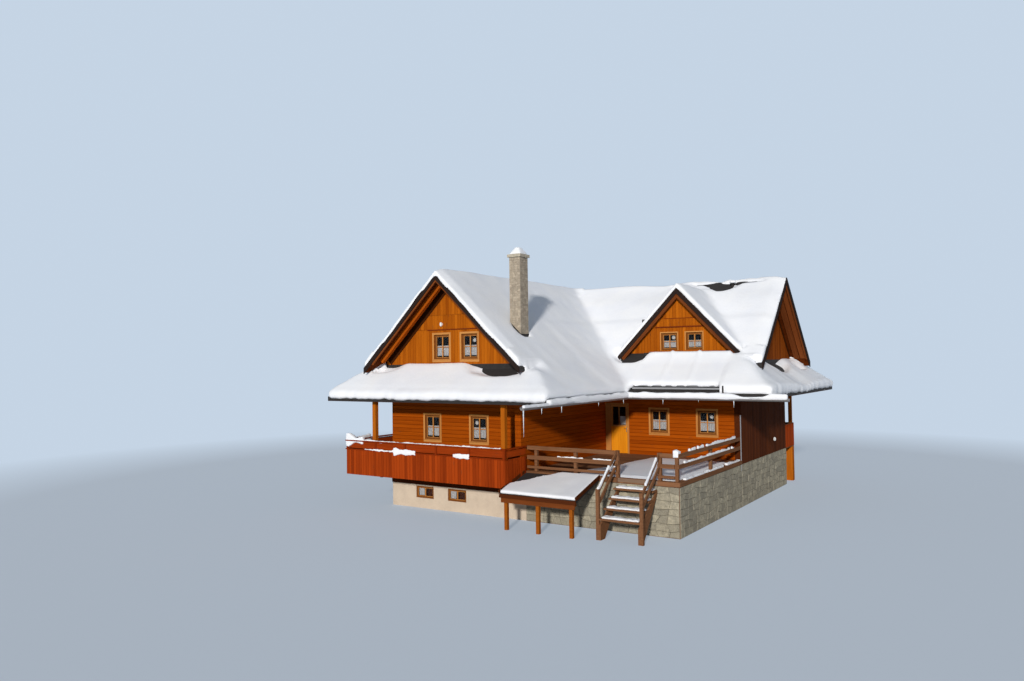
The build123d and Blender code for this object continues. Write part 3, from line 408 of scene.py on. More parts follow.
# %% Glass, ice, sheet metal and roofing
def plain_finish(name, colour, rough, metal=0.0, patch_scale=12.0, share=0.35, alpha=1.0):
    """A hard surface with a little cloudiness in its colour and gloss."""
    material, tree, shader = start_material(name)
    place = add_node(tree, "TexCoord").outputs["Object"]
    cloud = speckle(tree, place, patch_scale, 4.0, 0.6)
    darker = rgba(*(value * 0.45 for value in colour[:3]))
    tint = blend_colours(tree, maths(tree, "MULTIPLY", cloud, share), colour, darker)
    tree.links.new(tint, shader.inputs["Base Color"])
    tree.links.new(spread(tree, cloud, 0.3, 0.7, rough, min(1.0, rough + 0.15)), shader.inputs["Roughness"])
    shader.inputs["Metallic"].default_value = metal
    shader.inputs["Alpha"].default_value = alpha
    put_bump(tree, shader, cloud, 0.15, 0.002)
    return material


pane_glass = plain_finish("pane_glass", rgba(0.02, 0.024, 0.03), 0.03, patch_scale=3.0, share=0.2,
                          alpha=0.16)
ice = plain_finish("clear_ice", rgba(0.86, 0.92, 0.97), 0.08, share=0.1, alpha=0.75)
gutter_metal = plain_finish("gutter_metal", rgba(0.3, 0.28, 0.27), 0.4, 0.6)
roofing = plain_finish("dark_roofing", rgba(0.02, 0.016, 0.014), 0.8, patch_scale=5.0)
sheet_metal = plain_finish("sheet_metal", rgba(0.34, 0.34, 0.35), 0.45, 0.3, patch_scale=4.0)
brass = plain_finish("handle_metal", rgba(0.55, 0.5, 0.4), 0.3, 1.0)
milk_glass = plain_finish("milk_glass", rgba(0.86, 0.86, 0.84), 0.12, share=0.1)
paper = plain_finish("white_paper", rgba(0.86, 0.85, 0.82), 0.7, share=0.15)
print("materials:", len(bpy.data.materials))

# %% [markdown]
# ## Finishes for the CAD nodes
# A CAD node keeps its mesh. Only the material in its slot changes. The balcony's panels and the slabs of
# snow are replaced further on by pieces made for them. The wall under the terrace is stone on the real
# house, and the stones that show are laid in front of it further on.

# %% Dress the CAD nodes
finishes = {
    "front_wall": log_x, "entrance_wall": log_x, "entrance_lintel": log_x, "rear_wall": log_x,
    "left_wall": log_y, "inner_wall": log_y, "corner_logs": log_y,
    # The end wall is nearly black as painted shade.
    "end_wall": dark_x, "front_gable": beam_x, "end_gable": beam_x, "dormer_gable": beam_x,
    "basement_walls": plaster, "plinth_walls": plinth_stone, "terrace_walls": grey_z,
    "ground_floor": floor_wood, "attic_floor": floor_wood, "rear_porch": grey_x, "porch_posts": post_wood,
    "left_roof": roofing, "inner_roof": roofing, "front_roof": roofing, "rear_roof": roofing,
    "pent_roofs": roofing, "dormer_roof": roofing, "apron_roof": sheet_metal, "barge_boards": verge_wood,
    "chimney": chimney_stone, "gutters": gutter_metal, "balcony_floor": grey_x, "balcony_posts": post_wood,
    "eave_beam": beam_x, "terrace_floor": terrace_wood, "terrace_front_rail": grey_x,
    "terrace_side_rail": grey_y, "stairs": grey_x, "stair_rails": grey_y, "shed_roof": roofing,
    "shed_frame": beam_x, "door_frame": trim_wood, "door_leaf": door_wood, "door_glass": pane_glass,
    "lower_window_frames": frame_wood, "lower_glass": pane_glass, "attic_window_frames": frame_wood,
    "attic_glass": pane_glass, "roof_snow": snow_white, "snow_caps": snow_white,
    "balcony_front_boards": balcony_wood, "balcony_side_boards": balcony_wood,
    "balcony_handrail": balcony_wood,
}
for name, material in finishes.items():
    nodes[name].material_slots[0].material = material
print("dressed:", len(finishes), "nodes, left:", sorted(set(nodes) - set(finishes)))

# %% [markdown]
# ## Boards
# Nearly all trim is boards. Each could be an object with a bevel modifier, but then the house would have
# many hundreds of objects. Here a board is a cube scaled to size inside a shared mesh. Its corners are
# told where they lie along the grain, and get one tone by a seeded draw, so that one material suits
# boards in any direction.

# %% Helpers for boards
SEED = 7
dice = random.Random(SEED)


def new_boards():
    """An empty mesh whose corners can say where they lie on their board."""
    mesh = bmesh.new()
    mesh.verts.layers.float_vector.new("grain")
    mesh.verts.layers.float.new("tone")
    return mesh


def add_board(mesh, low, high, along, place=Matrix()):
    """Add one board between two corners, its grain along an axis, and put it in place."""
    low, high = Vector(low), Vector(high)
    corners = bmesh.ops.create_cube(mesh, size=1)["verts"]
    bmesh.ops.scale(mesh, vec=high - low, verts=corners)
    bmesh.ops.translate(mesh, vec=(low + high) / 2, verts=corners)
    grain, tone = mesh.verts.layers.float_vector["grain"], mesh.verts.layers.float["tone"]
    shift = Vector((dice.uniform(0, 40), dice.uniform(0, 9), dice.uniform(0, 9)))
    shade = dice.random()
    for corner in corners:
        turned_corner = Vector([corner.co[(along + step) % 3] for step in range(3)])
        corner[grain] = turned_corner + shift
        corner[tone] = shade
    bmesh.ops.transform(mesh, matrix=place, verts=corners)
    return corners


print("boards draw their tones from seed", SEED)

# %% [markdown]
# ## Pieces
# A finished mesh becomes an object with one material. It names the body that it rides on, and where it
# stands for a plain CAD node, it replaces that. All boards of a piece are bevelled together, because sharp
# edges catch no light. Walls lie in different directions, so a matrix turns a wall into a place for work
# where the first axis runs along it and the second out of it.


# %% Helpers for pieces
def new_piece(name, mesh, material, body="house", replaced=()):
    """Turn a finished mesh into a piece that rides on a body."""
    data = bpy.data.meshes.new(name)
    mesh.to_mesh(data)
    mesh.free()
    data.materials.append(material)
    piece = bpy.data.objects.new(name, data)
    scene.collection.objects.link(piece)
    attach(piece, body)
    if replaced:
        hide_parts(*replaced)
    print(f"{name}: {len(data.polygons)} faces")
    return piece


def finish_boards(name, mesh, material, body="house", replaced=(), edge=0.004):
    """Bevel all boards of a piece, turn their faces outwards and place it."""
    bmesh.ops.recalc_face_normals(mesh, faces=mesh.faces[:])
    bmesh.ops.bevel(mesh, geom=mesh.edges[:], offset=edge, offset_type="OFFSET", segments=1, profile=0.5,
                    affect="EDGES", material=-1)
    return new_piece(name, mesh, material, body, replaced)


def cut_mesh(mesh, point, normal):
    """Cut away what lies beyond a plane and close the cut."""
    cut = bmesh.ops.bisect_plane(mesh, geom=mesh.verts[:] + mesh.edges[:] + mesh.faces[:], dist=0.00001,
                                 plane_co=point, plane_no=normal, clear_outer=True)
    rim = [item for item in cut["geom_cut"] if isinstance(item, bmesh.types.BMEdge)]
    bmesh.ops.holes_fill(mesh, edges=rim, sides=0)


def board_piece(name, boards, material, edge=0.004):
    """A piece of a few boards; each is two corners, the axis of its grain and, where given, its place."""
    mesh = new_boards()
    for board in boards:
        add_board(mesh, *board)
    return finish_boards(name, mesh, material, edge=edge)


def pour_into(mesh, part):
    """Add a finished part to the mesh of its piece."""
    data = bpy.data.meshes.new("part")
    part.to_mesh(data)
    part.free()
    mesh.from_mesh(data)
    bpy.data.meshes.remove(data)


def shade_smooth(mesh):
    """Let the light run softly over all faces."""
    for face in mesh.faces:
        face.smooth = True


def facing(axis_along, outward, origin):
    """A matrix for work on a wall: first axis along it, second out of it, third up."""
    columns = Matrix((Vector(axis_along), Vector(outward), Vector((0, 0, 1)))).transposed().to_4x4()
    return Matrix.Translation(Vector(origin)) @ columns


print("helpers for pieces are ready")

# %% [markdown]
# ## Gable boards
# The gables are clad in upright boards with narrow joints, in two or three storeys of boards on the front
# and on the dormer. Each board could be made to its own length with a slanted end. It is easier to start
# with rows of boards as high as the ridge, with the windows left open, and to let two planes cut them
# along the roof.


# %% Gable cladding
def upright_row(mesh, place, start, end, low, high, holes, width=0.14, gap=0.006, thick=0.022):
    """Boards side by side on a wall, cut round the holes (left, right, sill, head)."""
    edges = [start + index * width for index in range(int((end - start) / width) + 1)] + [end]
    for left, right, sill, head in holes:
        edges = [edge for edge in edges if min(abs(edge - left), abs(edge - right)) > 0.05] + [left, right]
    edges = sorted(edges)
    for left, right in zip(edges, edges[1:]):
        if right - left < 0.02:
            continue
        middle = (left + right) / 2
        spans = [(low, high)]
        for hole in holes:
            if hole[0] < middle < hole[1]:
                spans = [(low, hole[2]), (hole[3], high)]
        for bottom, top in spans:
            out_by = thick + dice.uniform(-0.002, 0.002)
            add_board(mesh, (left + gap / 2, 0.0, bottom), (right - gap / 2, out_by, top), 2, place)


SLOPE, RIDGE_Z, DECK = 0.949, 9.136, 0.16
HALF_WIDTH, MAIN_RIDGE_Y = 3.25, 9.5
under_deck = RIDGE_Z - DECK - 0.012


def clad_gable(name, place, half, low, peak, slope, holes, joints=(), material=gable_wood):
    """Clad one gable: rows of boards between level joints, cut by the two slopes of its roof."""
    mesh = new_boards()
    levels = [low, *joints, peak + 0.1]
    for bottom, top in zip(levels, levels[1:]):
        open_here = [hole for hole in holes if hole[2] < top and hole[3] > bottom]
        upright_row(mesh, place, -half, half, bottom, top - 0.008, open_here)
    for side in (-1, 1):
        normal = place.to_3x3() @ Vector((side * slope, 0, 1)).normalized()
        cut_mesh(mesh, place @ Vector((0, 0, peak)), normal)
    return finish_boards(name, mesh, material, edge=0.003)


GABLE_FOOT, ATTIC_SILL, WINDOW_W, WINDOW_H = 5.3, 5.9, 0.76, 0.96
attic_x = (-0.395, 0.955)
front_holes = [(x - WINDOW_W / 2, x + WINDOW_W / 2, ATTIC_SILL, ATTIC_SILL + WINDOW_H) for x in attic_x]
front_place = facing((1, 0, 0), (0, -1, 0), (0, -0.4, 0))
clad_gable("front_gable_boards", front_place, HALF_WIDTH, GABLE_FOOT, under_deck, SLOPE, front_holes,
           [7.06, 7.62])
end_place = facing((0, 1, 0), (1, 0, 0), (9.37, MAIN_RIDGE_Y, 0))
# The end gable's boards wear the darker colours of painted shade.
clad_gable("end_gable_boards", end_place, HALF_WIDTH, GABLE_FOOT, under_deck, SLOPE, [],
           material=end_gable_wood)
DORMER_X, DORMER_RIDGE, DORMER_SLOPE = 6.7, 8.68, 1.034
DORMER_W, DORMER_H, DORMER_SILL = 0.7, 0.705, 6.168
dormer_x = (6.24, 7.31)
dormer_place = facing((1, 0, 0), (0, -1, 0), (DORMER_X, 6.25, 0))
dormer_holes = [(x - DORMER_X - DORMER_W / 2, x - DORMER_X + DORMER_W / 2, DORMER_SILL,
                 DORMER_SILL + DORMER_H) for x in dormer_x]
clad_gable("dormer_gable_boards", dormer_place, 2.4, 6.055, DORMER_RIDGE - 0.162, DORMER_SLOPE, dormer_holes,
           [7.1, 7.47])

# %% [markdown]
# ## Battens and flashing on the gables
# Battens cover the level joints of the cladding, apart from the upper one on the front. Their dark
# red-brown is painted shade, darker than the boards they cover. At the foot of the two large gables a strip
# of roofing is turned up against the boards to keep melting snow out. It shows where the snow has slid
# away. Both are single boards, a little proud of the cladding.

# %% Battens and flashing
# The battens' dark red-brown is painted shade.
board_piece("gable_battens", [
    ((-1.09, 0.024, 7.03), (1.4, 0.05, 7.07), 0, front_place),
    ((-1.05, 0.024, 7.09), (1.0, 0.055, 7.14), 0, dormer_place),
    ((-0.65, 0.024, 7.455), (0.75, 0.038, 7.48), 0, dormer_place),
], dark_red_wood)
board_piece("gable_flashing", [
    ((-3.24, 0.022, GABLE_FOOT), (3.24, 0.03, 5.71), 0, front_place),
    ((-3.2, 0.022, GABLE_FOOT), (3.2, 0.03, 5.72), 0, end_place),
], roofing, edge=0.002)

# %% [markdown]
# ## Windows
# Each window is a wooden frame from the CAD model, with two sashes, one crossbar, flat casing boards
# round it and a sill board. One window could be modelled and copied, but the three sizes would stretch
# its boards. So a list says where each window is and how large, and the same few lines build it there.

# %% Window places
FRONT_Y, ENTRANCE_Y, REAR_Y = -0.15, 6.25, 12.75
GROUND_SILL = 2.75
wall_front = facing((1, 0, 0), (0, -1, 0), (0, FRONT_Y, 0))
wall_entrance = facing((1, 0, 0), (0, -1, 0), (0, ENTRANCE_Y, 0))
wall_rear = facing((-1, 0, 0), (0, 1, 0), (0, REAR_Y, 0))
wall_left = facing((0, -1, 0), (-1, 0, 0), (-HALF_WIDTH, 0, 0))
front_x, entrance_x = (-1.12, 1.155), (5.72, 7.77)
windows = []
for x in front_x:
    windows.append(("front", wall_front, x, GROUND_SILL, WINDOW_W, WINDOW_H))
for x in entrance_x:
    windows.append(("entrance", wall_entrance, x, GROUND_SILL, WINDOW_W, WINDOW_H))
for x in (-1.5, 0.9, 3.3, 5.7, 8.1):
    windows.append(("rear", wall_rear, -x, GROUND_SILL, WINDOW_W, WINDOW_H))
for y in (1.6, 4.6, 7.6, 10.6):
    windows.append(("left", wall_left, -y, GROUND_SILL, WINDOW_W, WINDOW_H))
for x in attic_x:
    windows.append(("attic", front_place, x, ATTIC_SILL, WINDOW_W, WINDOW_H))
for x in dormer_x:
    windows.append(("dormer", dormer_place, x - DORMER_X, DORMER_SILL, DORMER_W, DORMER_H))
basement_windows = [("basement", wall_front, x, 0.4, 0.9, 0.47) for x in (-1.55, 0.06)]
print("windows:", len(windows) + len(basement_windows))

# %% [markdown]
# ## Casings, sashes and inner shutters
# The casings are four boards flat on the wall, narrower on the dormer, where a lower board is missing
# because the roof is near. The sashes stand a little back in the frame. The rooms are empty, so through
# two windows in a row one would see daylight behind the house. Closed shutters inside the windows of the
# rear, the left side and the basement keep the rooms dark, as inner walls do in the real house.

# %% Casings, sashes and inner shutters
CASING_W, DORMER_CASING, CASING_T = 0.08, 0.05, 0.018
FRAME_SET, FRAME_W, STILE, SHUTTER_IN = 0.03, 0.07, 0.016, -0.285


def case_window(mesh, place, middle, sill, width, height, broad=CASING_W, foot=True):
    """Flat boards round a window: two uprights and a head, and where wanted a lower board and a sill."""
    left, right, head = middle - width / 2, middle + width / 2, sill + height
    for start, end in ((left - broad, left), (right, right + broad)):
        add_board(mesh, (start, 0.001, sill - 0.02), (end, CASING_T, head + broad), 2, place)
    add_board(mesh, (left, 0.001, head), (right, CASING_T, head + broad), 0, place)
    if foot:
        add_board(mesh, (left - broad, 0.001, sill - 0.11), (right + broad, CASING_T, sill - 0.021), 0,
                  place)
        add_board(mesh, (left - 0.04, -0.03, sill - 0.02), (right + 0.04, CASING_T + 0.03, sill + 0.008), 0,
                  place)


def sash_window(mesh, place, middle, sill, width, height, bar=0.5):
    """Two sashes side by side in the frame, each with a crossbar, in front of the glass."""
    low, high = sill + FRAME_W, sill + height - FRAME_W
    start, end = middle - width / 2 + FRAME_W, middle + width / 2 - FRAME_W
    near, far = -FRAME_SET - 0.012, -FRAME_SET - 0.036
    for left, right in ((start, middle - 0.003), (middle + 0.003, end)):
        for side in (left, right - STILE):
            add_board(mesh, (side, far, low), (side + STILE, near, high), 2, place)
        for foot in (low, high - STILE):
            add_board(mesh, (left + STILE, far, foot), (right - STILE, near, foot + STILE), 0, place)
        if bar:
            level_z = low + (high - low) * bar
            add_board(mesh, (left + STILE, far + 0.002, level_z - 0.012),
                      (right - STILE, near - 0.004, level_z + 0.012), 0, place)
    add_board(mesh, (middle - 0.02, near, low), (middle + 0.02, near + 0.012, high), 2, place)


casings, sashes, shutters = new_boards(), new_boards(), new_boards()
for kind, place, *facts in windows:
    wall = place @ Matrix.Translation((0, 0.022 if kind in ("attic", "dormer") else 0.0, 0))
    if kind == "dormer":
        case_window(casings, wall, *facts, DORMER_CASING, False)
    else:
        case_window(casings, wall, *facts)
    sash_window(sashes, place, *facts)
for kind, place, *facts in basement_windows:
    sash_window(sashes, place, *facts, 0)
for kind, place, middle, sill, width, height in windows + basement_windows:
    if kind in ("rear", "left", "basement"):
        upright_row(shutters, place @ Matrix.Translation((0, SHUTTER_IN, 0)), middle - width / 2 - 0.03,
                    middle + width / 2 + 0.03, sill - 0.03, sill + height + 0.03, [], 0.12, 0.0, 0.02)
finish_boards("window_casings", casings, trim_wood)
finish_boards("window_sashes", sashes, trim_wood, edge=0.002)
finish_boards("inner_shutters", shutters, dark_wood, edge=0.002)

# %% [markdown]
# ## Lace
# The curtains are white cotton lace. Its holes are far too small to model, so they are drawn in the alpha
# of the material: scattered points at two scales make the flowers and the threads between them.


# %% Lace
def lace_material():
    """White cotton lace with small holes."""
    material, tree, shader = start_material("cotton_lace")
    place = add_node(tree, "UVMap").outputs[0]
    flowers, threads = cells(tree, place, 28.0), cells(tree, place, 160.0)
    holes = maths(tree, "MULTIPLY", spread(tree, flowers, 0.25, 0.45), spread(tree, threads, 0.2, 0.35))
    tree.links.new(spread(tree, holes, 0.0, 1.0, 1.0, 0.7), shader.inputs["Alpha"])
    tint = blend_colours(tree, flowers, rgba(0.93, 0.92, 0.9), rgba(0.82, 0.82, 0.84))
    tree.links.new(tint, shader.inputs["Base Color"])
    tree.links.new(spread(tree, threads, 0.0, 0.5, 0.8, 0.95), shader.inputs["Roughness"])
    put_bump(tree, shader, threads, 0.3, 0.001)
    return material


lace = lace_material()
print("material:", lace.name)

# %% [markdown]
# ## Curtains
# A short curtain hangs in the lower half of each window. A cloth simulation could gather it, but would
# not come out the same each time. Here it is a row of points on a wavy line, extruded down. The cloth's
# flat width is the length of that wavy line. In the basement only one side of each window has a curtain.

# %% Curtains
CURTAIN_IN, FOLD_POINTS = -0.108, 72


def curtain(name, place, middle, low, width, drop, rod):
    """One gathered half curtain behind a window's glass."""
    mesh = bmesh.new()
    points = []
    for index in range(FOLD_POINTS + 1):
        across = index / FOLD_POINTS
        wave = 0.010 * math.sin(across * 44 + dice.uniform(-0.2, 0.2)) + 0.004 * math.sin(across * 17)
        points.append(mesh.verts.new((middle - width / 2 + across * width, CURTAIN_IN + wave, low + drop)))
    row = [mesh.edges.new(pair) for pair in zip(points, points[1:])]
    flat_width = sum(edge.calc_length() for edge in row)
    for step in range(6):
        lower = bmesh.ops.extrude_edge_only(mesh, edges=row)["geom"]
        corners = [item for item in lower if isinstance(item, bmesh.types.BMVert)]
        bmesh.ops.translate(mesh, vec=(0, 0, -drop / 6), verts=corners)
        row = [item for item in lower if isinstance(item, bmesh.types.BMEdge) and
               all(end in corners for end in item.verts)]
    layer = mesh.loops.layers.uv.new("UVMap")
    shade_smooth(mesh)
    for face in mesh.faces:
        for loop in face.loops:
            loop[layer].uv = (loop.vert.co.x * flat_width / width, loop.vert.co.z)
    bmesh.ops.transform(mesh, matrix=place, verts=mesh.verts)
    piece = new_piece(name, mesh, lace)
    return piece


rods = bmesh.new()
hung = []


def hang(name, place, middle, low, width, drop):
    """Put up the rod of one curtain and note what will hang on it."""
    spot = place @ Matrix.Translation((middle, CURTAIN_IN, low + drop))
    bmesh.ops.create_cone(rods, cap_ends=True, segments=8, radius1=0.005, radius2=0.005, depth=width + 0.02,
                          matrix=spot @ Matrix.Rotation(math.pi / 2, 4, "Y"))
    hung.append((name, place, middle, low, width, drop))


for number, (kind, place, middle, sill, width, height) in enumerate(windows):
    pane_h = height - 2 * FRAME_W
    hang(f"curtain_{kind}_{number}", place, middle, sill + FRAME_W + 0.09 * pane_h, width - 2 * FRAME_W,
         0.48 * pane_h)
for number, (kind, place, middle, sill, width, height) in enumerate(basement_windows):
    hang(f"curtain_{kind}_{number}", place, middle - width / 2 + FRAME_W + 0.14, sill + FRAME_W + 0.02, 0.26,
         height - 2 * FRAME_W - 0.04)
new_piece("curtain_rods", rods, brass)
for facts in hung:
    curtain(*facts, "curtain_rods")
print("curtains:", len(hung))

# %% [markdown]
# ## Under the eaves
# From below one sees the lining of the roof: boards nailed under the deck. Boards could be laid one by
# one, but the slopes meet in hips and valleys that would cut most of them. The CAD decks are plain slabs,
# so their lower faces are copied, moved down a little and given the thickness of a board, and the
# material draws the joints.

# %% Roof lining
LINING = 0.012


def copy_of(*names):
    """One merged mesh of copies of CAD nodes."""
    mesh = bmesh.new()
    for name in names:
        mesh.from_mesh(nodes[name].data)
    bmesh.ops.remove_doubles(mesh, verts=mesh.verts, dist=0.0005)
    return mesh


def line_deck(name, material, *decks):
    """Boards under some of the decks."""
    mesh = copy_of(*decks)
    upper = [face for face in mesh.faces if face.normal.z > -0.5]
    bmesh.ops.delete(mesh, geom=upper, context="FACES")
    bmesh.ops.dissolve_limit(mesh, angle_limit=0.01, verts=mesh.verts, edges=mesh.edges)
    bmesh.ops.solidify(mesh, geom=mesh.faces[:], thickness=-LINING)
    bmesh.ops.translate(mesh, vec=(0, 0, -0.001), verts=mesh.verts)
    bmesh.ops.recalc_face_normals(mesh, faces=mesh.faces[:])
    for corner in mesh.verts:
        corner.co.x = max(cad_box[0][0] + 0.001, corner.co.x)
        corner.co.y = min(cad_box[1][1] - 0.001, corner.co.y)
    return new_piece(name, mesh, material)


# Both linings carry the nearly black colours of painted shade.
line_deck("lining_of_side_slopes", soffit_y, "left_roof", "inner_roof", "dormer_roof")
line_deck("lining_of_main_slopes", soffit_x, "front_roof", "rear_roof", "pent_roofs")

# %% [markdown]
# ## Roof trim
# Rafters run under every eave and their ends show below the snow. A rafter is a beam with a slope, so it
# is built flat and turned by the slope's angle. Towards a hip the rafters get shorter, or else they would
# stick out of the roof beyond it.

# %% Rafters under the eaves
KNEE_RUN, EAVE_RUN, LOWER_SLOPE = 3.75, 5.22, 0.768
KNEE_Z = RIDGE_Z - SLOPE * KNEE_RUN
EAVE_Z = KNEE_Z - LOWER_SLOPE * (EAVE_RUN - KNEE_RUN)
FRONT_EAVE, TERRACE_EAVE, REAR_EAVE, END_EAVE = -1.834, 4.28, 14.72, 10.804
LOW_STRETCH = math.hypot(1, LOWER_SLOPE)
RAFTER_PITCH, SET_BACK = 0.92, 0.09
rafters = new_boards()


def sloped_beam(mesh, foot, outward, slope, length, top, deep, width):
    """A beam from its foot up the slope, against the outward direction; top is how far it lies below."""
    angle = math.atan(slope)
    outward = Vector(outward)
    uphill = -outward * math.cos(angle) + Vector((0, 0, math.sin(angle)))
    across = Vector((0, 0, 1)).cross(outward)
    turned = Matrix((uphill, across, uphill.cross(across))).transposed().to_4x4()
    turn = Matrix.Translation(Vector(foot)) @ turned
    return add_board(mesh, (0, -width / 2, -top - deep), (length, width / 2, -top), 0, turn)


def eave_rafters(start, step, outward, count, run):
    """A row of rafter ends a little behind an eave; run gives each one's level length."""
    start, step, outward = Vector(start), Vector(step), Vector(outward)
    for index in range(count):
        foot = start + step * index - outward * SET_BACK
        foot.z = EAVE_Z - DECK - LINING + SET_BACK * LOWER_SLOPE
        sloped_beam(rafters, foot, outward, LOWER_SLOPE, run(foot) * LOW_STRETCH, 0.0, 0.13, 0.1)


def within(limit, axis, low, high):
    """A rafter's length behind the eave: up to a limit, and shorter towards the hips at both ends."""
    return lambda foot: max(0.2, min(limit, (foot[axis] - low) * 0.85, (high - foot[axis]) * 0.85))


front_hips, end_hips = (-EAVE_RUN, EAVE_RUN), (TERRACE_EAVE, REAR_EAVE)
side_hips, main_hips = (FRONT_EAVE, REAR_EAVE), (-EAVE_RUN, END_EAVE)
eave_rafters((-4.6, FRONT_EAVE, 0), (RAFTER_PITCH, 0, 0), (0, -1, 0), 11, within(1.4, 0, *front_hips))
eave_rafters((-EAVE_RUN, -0.9, 0), (0, RAFTER_PITCH, 0), (-1, 0, 0), 17, within(1.35, 1, *side_hips))
eave_rafters((EAVE_RUN, -0.9, 0), (0, RAFTER_PITCH, 0), (1, 0, 0), 5, within(1.35, 1, *side_hips))
eave_rafters((5.9, TERRACE_EAVE, 0), (RAFTER_PITCH, 0, 0), (0, -1, 0), 5, within(1.35, 0, *main_hips))
eave_rafters((-4.0, REAR_EAVE, 0), (RAFTER_PITCH, 0, 0), (0, 1, 0), 16, within(1.35, 0, *main_hips))
eave_rafters((END_EAVE, 5.4, 0), (0, RAFTER_PITCH, 0), (1, 0, 0), 9, within(1.0, 1, *end_hips))
finish_boards("rafter_ends", rafters, rafter_wood, edge=0.006)


# %% [markdown]
# ## Verges
# The roof reaches far out over the gables. Under it a flying rafter follows the slope, boards line the
# inner side of the black barge boards, and a dark strip along the joint between roof and cladding is
# painted shadow: it stands for the shade that the verge throws on the wall. All of them are pairs of
# boards that meet in a mitre under the ridge: each is built flat, turned by the slope and cut by an
# upright plane.


# %% Flying rafters and boards along the verges
def verge_pair(mesh, gable, run, out_near, out_far, deep):
    """Two mitred boards along both slopes of a gable, between two distances out of its wall."""
    place, peak, slope, top = gable
    angle = math.atan(slope)
    for side in (-1, 1):
        part = new_boards()
        low, high = (-0.3, out_near, -top - deep), (run / math.cos(angle), out_far, -top)
        turn = Matrix.Rotation(side * angle, 4, "Y") @ Matrix.Diagonal((side, 1, 1, 1))
        add_board(part, low, high, 0, Matrix.Translation((0, 0, peak)) @ turn)
        cut_mesh(part, Vector((0, 0, 0)), Vector((-side, 0, 0)))
        bmesh.ops.transform(part, matrix=place, verts=part.verts)
        pour_into(mesh, part)


DORMER_DECK = 0.15
FLYING_TOP = (DECK + LINING) * math.cos(math.atan(SLOPE))
DORMER_TOP = (DORMER_DECK + LINING) * math.cos(math.atan(DORMER_SLOPE))
front_verge = (front_place, RIDGE_Z, SLOPE, FLYING_TOP)
end_verge = (end_place, RIDGE_Z, SLOPE, FLYING_TOP)
dormer_verge = (dormer_place, DORMER_RIDGE, DORMER_SLOPE, DORMER_TOP)
flying, inner_trim, painted_shadow_strips = new_boards(), new_boards(), new_boards()
verge_pair(flying, front_verge, 3.3, 0.35, 0.51, 0.19)
finish_boards("flying_rafters", flying, rafter_wood, edge=0.006)
verge_pair(inner_trim, front_verge, 3.45, 0.79, 0.842, 0.1)
verge_pair(inner_trim, end_verge, 3.45, 0.72, 0.774, 0.1)
verge_pair(inner_trim, end_verge, 3.45, 0.2, 0.44, 0.05)
verge_pair(inner_trim, end_verge, 3.45, 0.47, 0.71, 0.03)
verge_pair(inner_trim, dormer_verge, 2.62, 0.2, 0.299, 0.17)
verge_pair(inner_trim, dormer_verge, 2.5, 0.024, 0.07, 0.06)
finish_boards("verge_inner_boards", inner_trim, verge_trim, edge=0.004)
# These strips on the walls are painted shadow: near-black boards where the verges throw their shade.
verge_pair(painted_shadow_strips, front_verge, 3.3, 0.023, 0.05, 0.28)
verge_pair(painted_shadow_strips, end_verge, 3.3, 0.023, 0.05, 0.12)
finish_boards("gable_painted_shadow", painted_shadow_strips, shade_board, edge=0.004)

# %% [markdown]
# ## Balcony
# The balcony's parapet is a row of upright red-brown boards under a shelf, with a plank between the shelf
# and the handrail. Grooves in the material would do from afar, but real boards give the jagged lower edge
# its shadow. They replace the plain panels of the CAD model, and the handrail keeps its shape. Below,
# short beams carry the floor from a beam along the wall, which is dark and deep as painted shadow: it
# stands for that beam and for the balcony's shadow on the wall.

# %% Balcony boards
BALCONY_LEFT, BALCONY_RIGHT, BALCONY_FRONT, BALCONY_END = -4.461, 3.29, -1.559, 6.25
BOARD_T, BOARD_LOW, BOARD_HIGH, PLANK_LOW, PLANK_HIGH = 0.04, 1.348, 2.337, 2.4, 2.65
parapet_row = (BOARD_LOW, BOARD_HIGH, [], 0.135, 0.01, 0.038)
front_boards, side_boards = new_boards(), new_boards()
parapet = facing((1, 0, 0), (0, -1, 0), (0, BALCONY_FRONT + BOARD_T, 0))
upright_row(front_boards, parapet, BALCONY_LEFT, BALCONY_RIGHT, *parapet_row)
left_side = facing((0, 1, 0), (-1, 0, 0), (BALCONY_LEFT + BOARD_T, 0, 0))
upright_row(side_boards, left_side, BALCONY_FRONT + BOARD_T, BALCONY_END, *parapet_row)
right_side = facing((0, 1, 0), (1, 0, 0), (BALCONY_RIGHT - BOARD_T, 0, 0))
upright_row(side_boards, right_side, BALCONY_FRONT + BOARD_T, FRONT_Y, *parapet_row)
for side, boards in (("front", front_boards), ("side", side_boards)):
    finish_boards(f"balcony_{side}_cladding", boards, balcony_wood,
                  replaced=[f"balcony_{side}_boards"])
board_piece("balcony_planks", [
    ((BALCONY_LEFT + 0.09, BALCONY_FRONT + 0.03, PLANK_LOW),
     (BALCONY_RIGHT - 0.02, BALCONY_FRONT + 0.055, PLANK_HIGH), 0),
    ((BALCONY_LEFT + 0.03, BALCONY_FRONT + 0.1, PLANK_LOW),
     (BALCONY_LEFT + 0.055, BALCONY_END - 0.05, PLANK_HIGH), 1),
    ((BALCONY_RIGHT - 0.05, BALCONY_FRONT + 0.09, PLANK_LOW),
     (BALCONY_RIGHT - 0.025, FRONT_Y - 0.02, PLANK_HIGH), 1),
    ((BALCONY_RIGHT - 0.06, BALCONY_FRONT + 0.11, 2.67), (BALCONY_RIGHT + 0.03, FRONT_Y - 0.02, 2.72), 1),
], balcony_wood)
# The beam along the wall is dark and deep as painted shadow: it stands for a beam and for the balcony's
# shadow on the wall.
beams = [((-3.24, -0.21, 0.93), (3.24, -0.151, 1.34), 0), ((-3.31, -0.14, 0.93), (-3.251, 6.2, 1.34), 1)]
for index in range(8):
    left = -3.12 + index * 0.88
    beams.append(((left, -1.05, 1.23), (left + 0.12, -0.212, 1.345), 1))
board_piece("balcony_carriers", beams, dark_wood, edge=0.006)

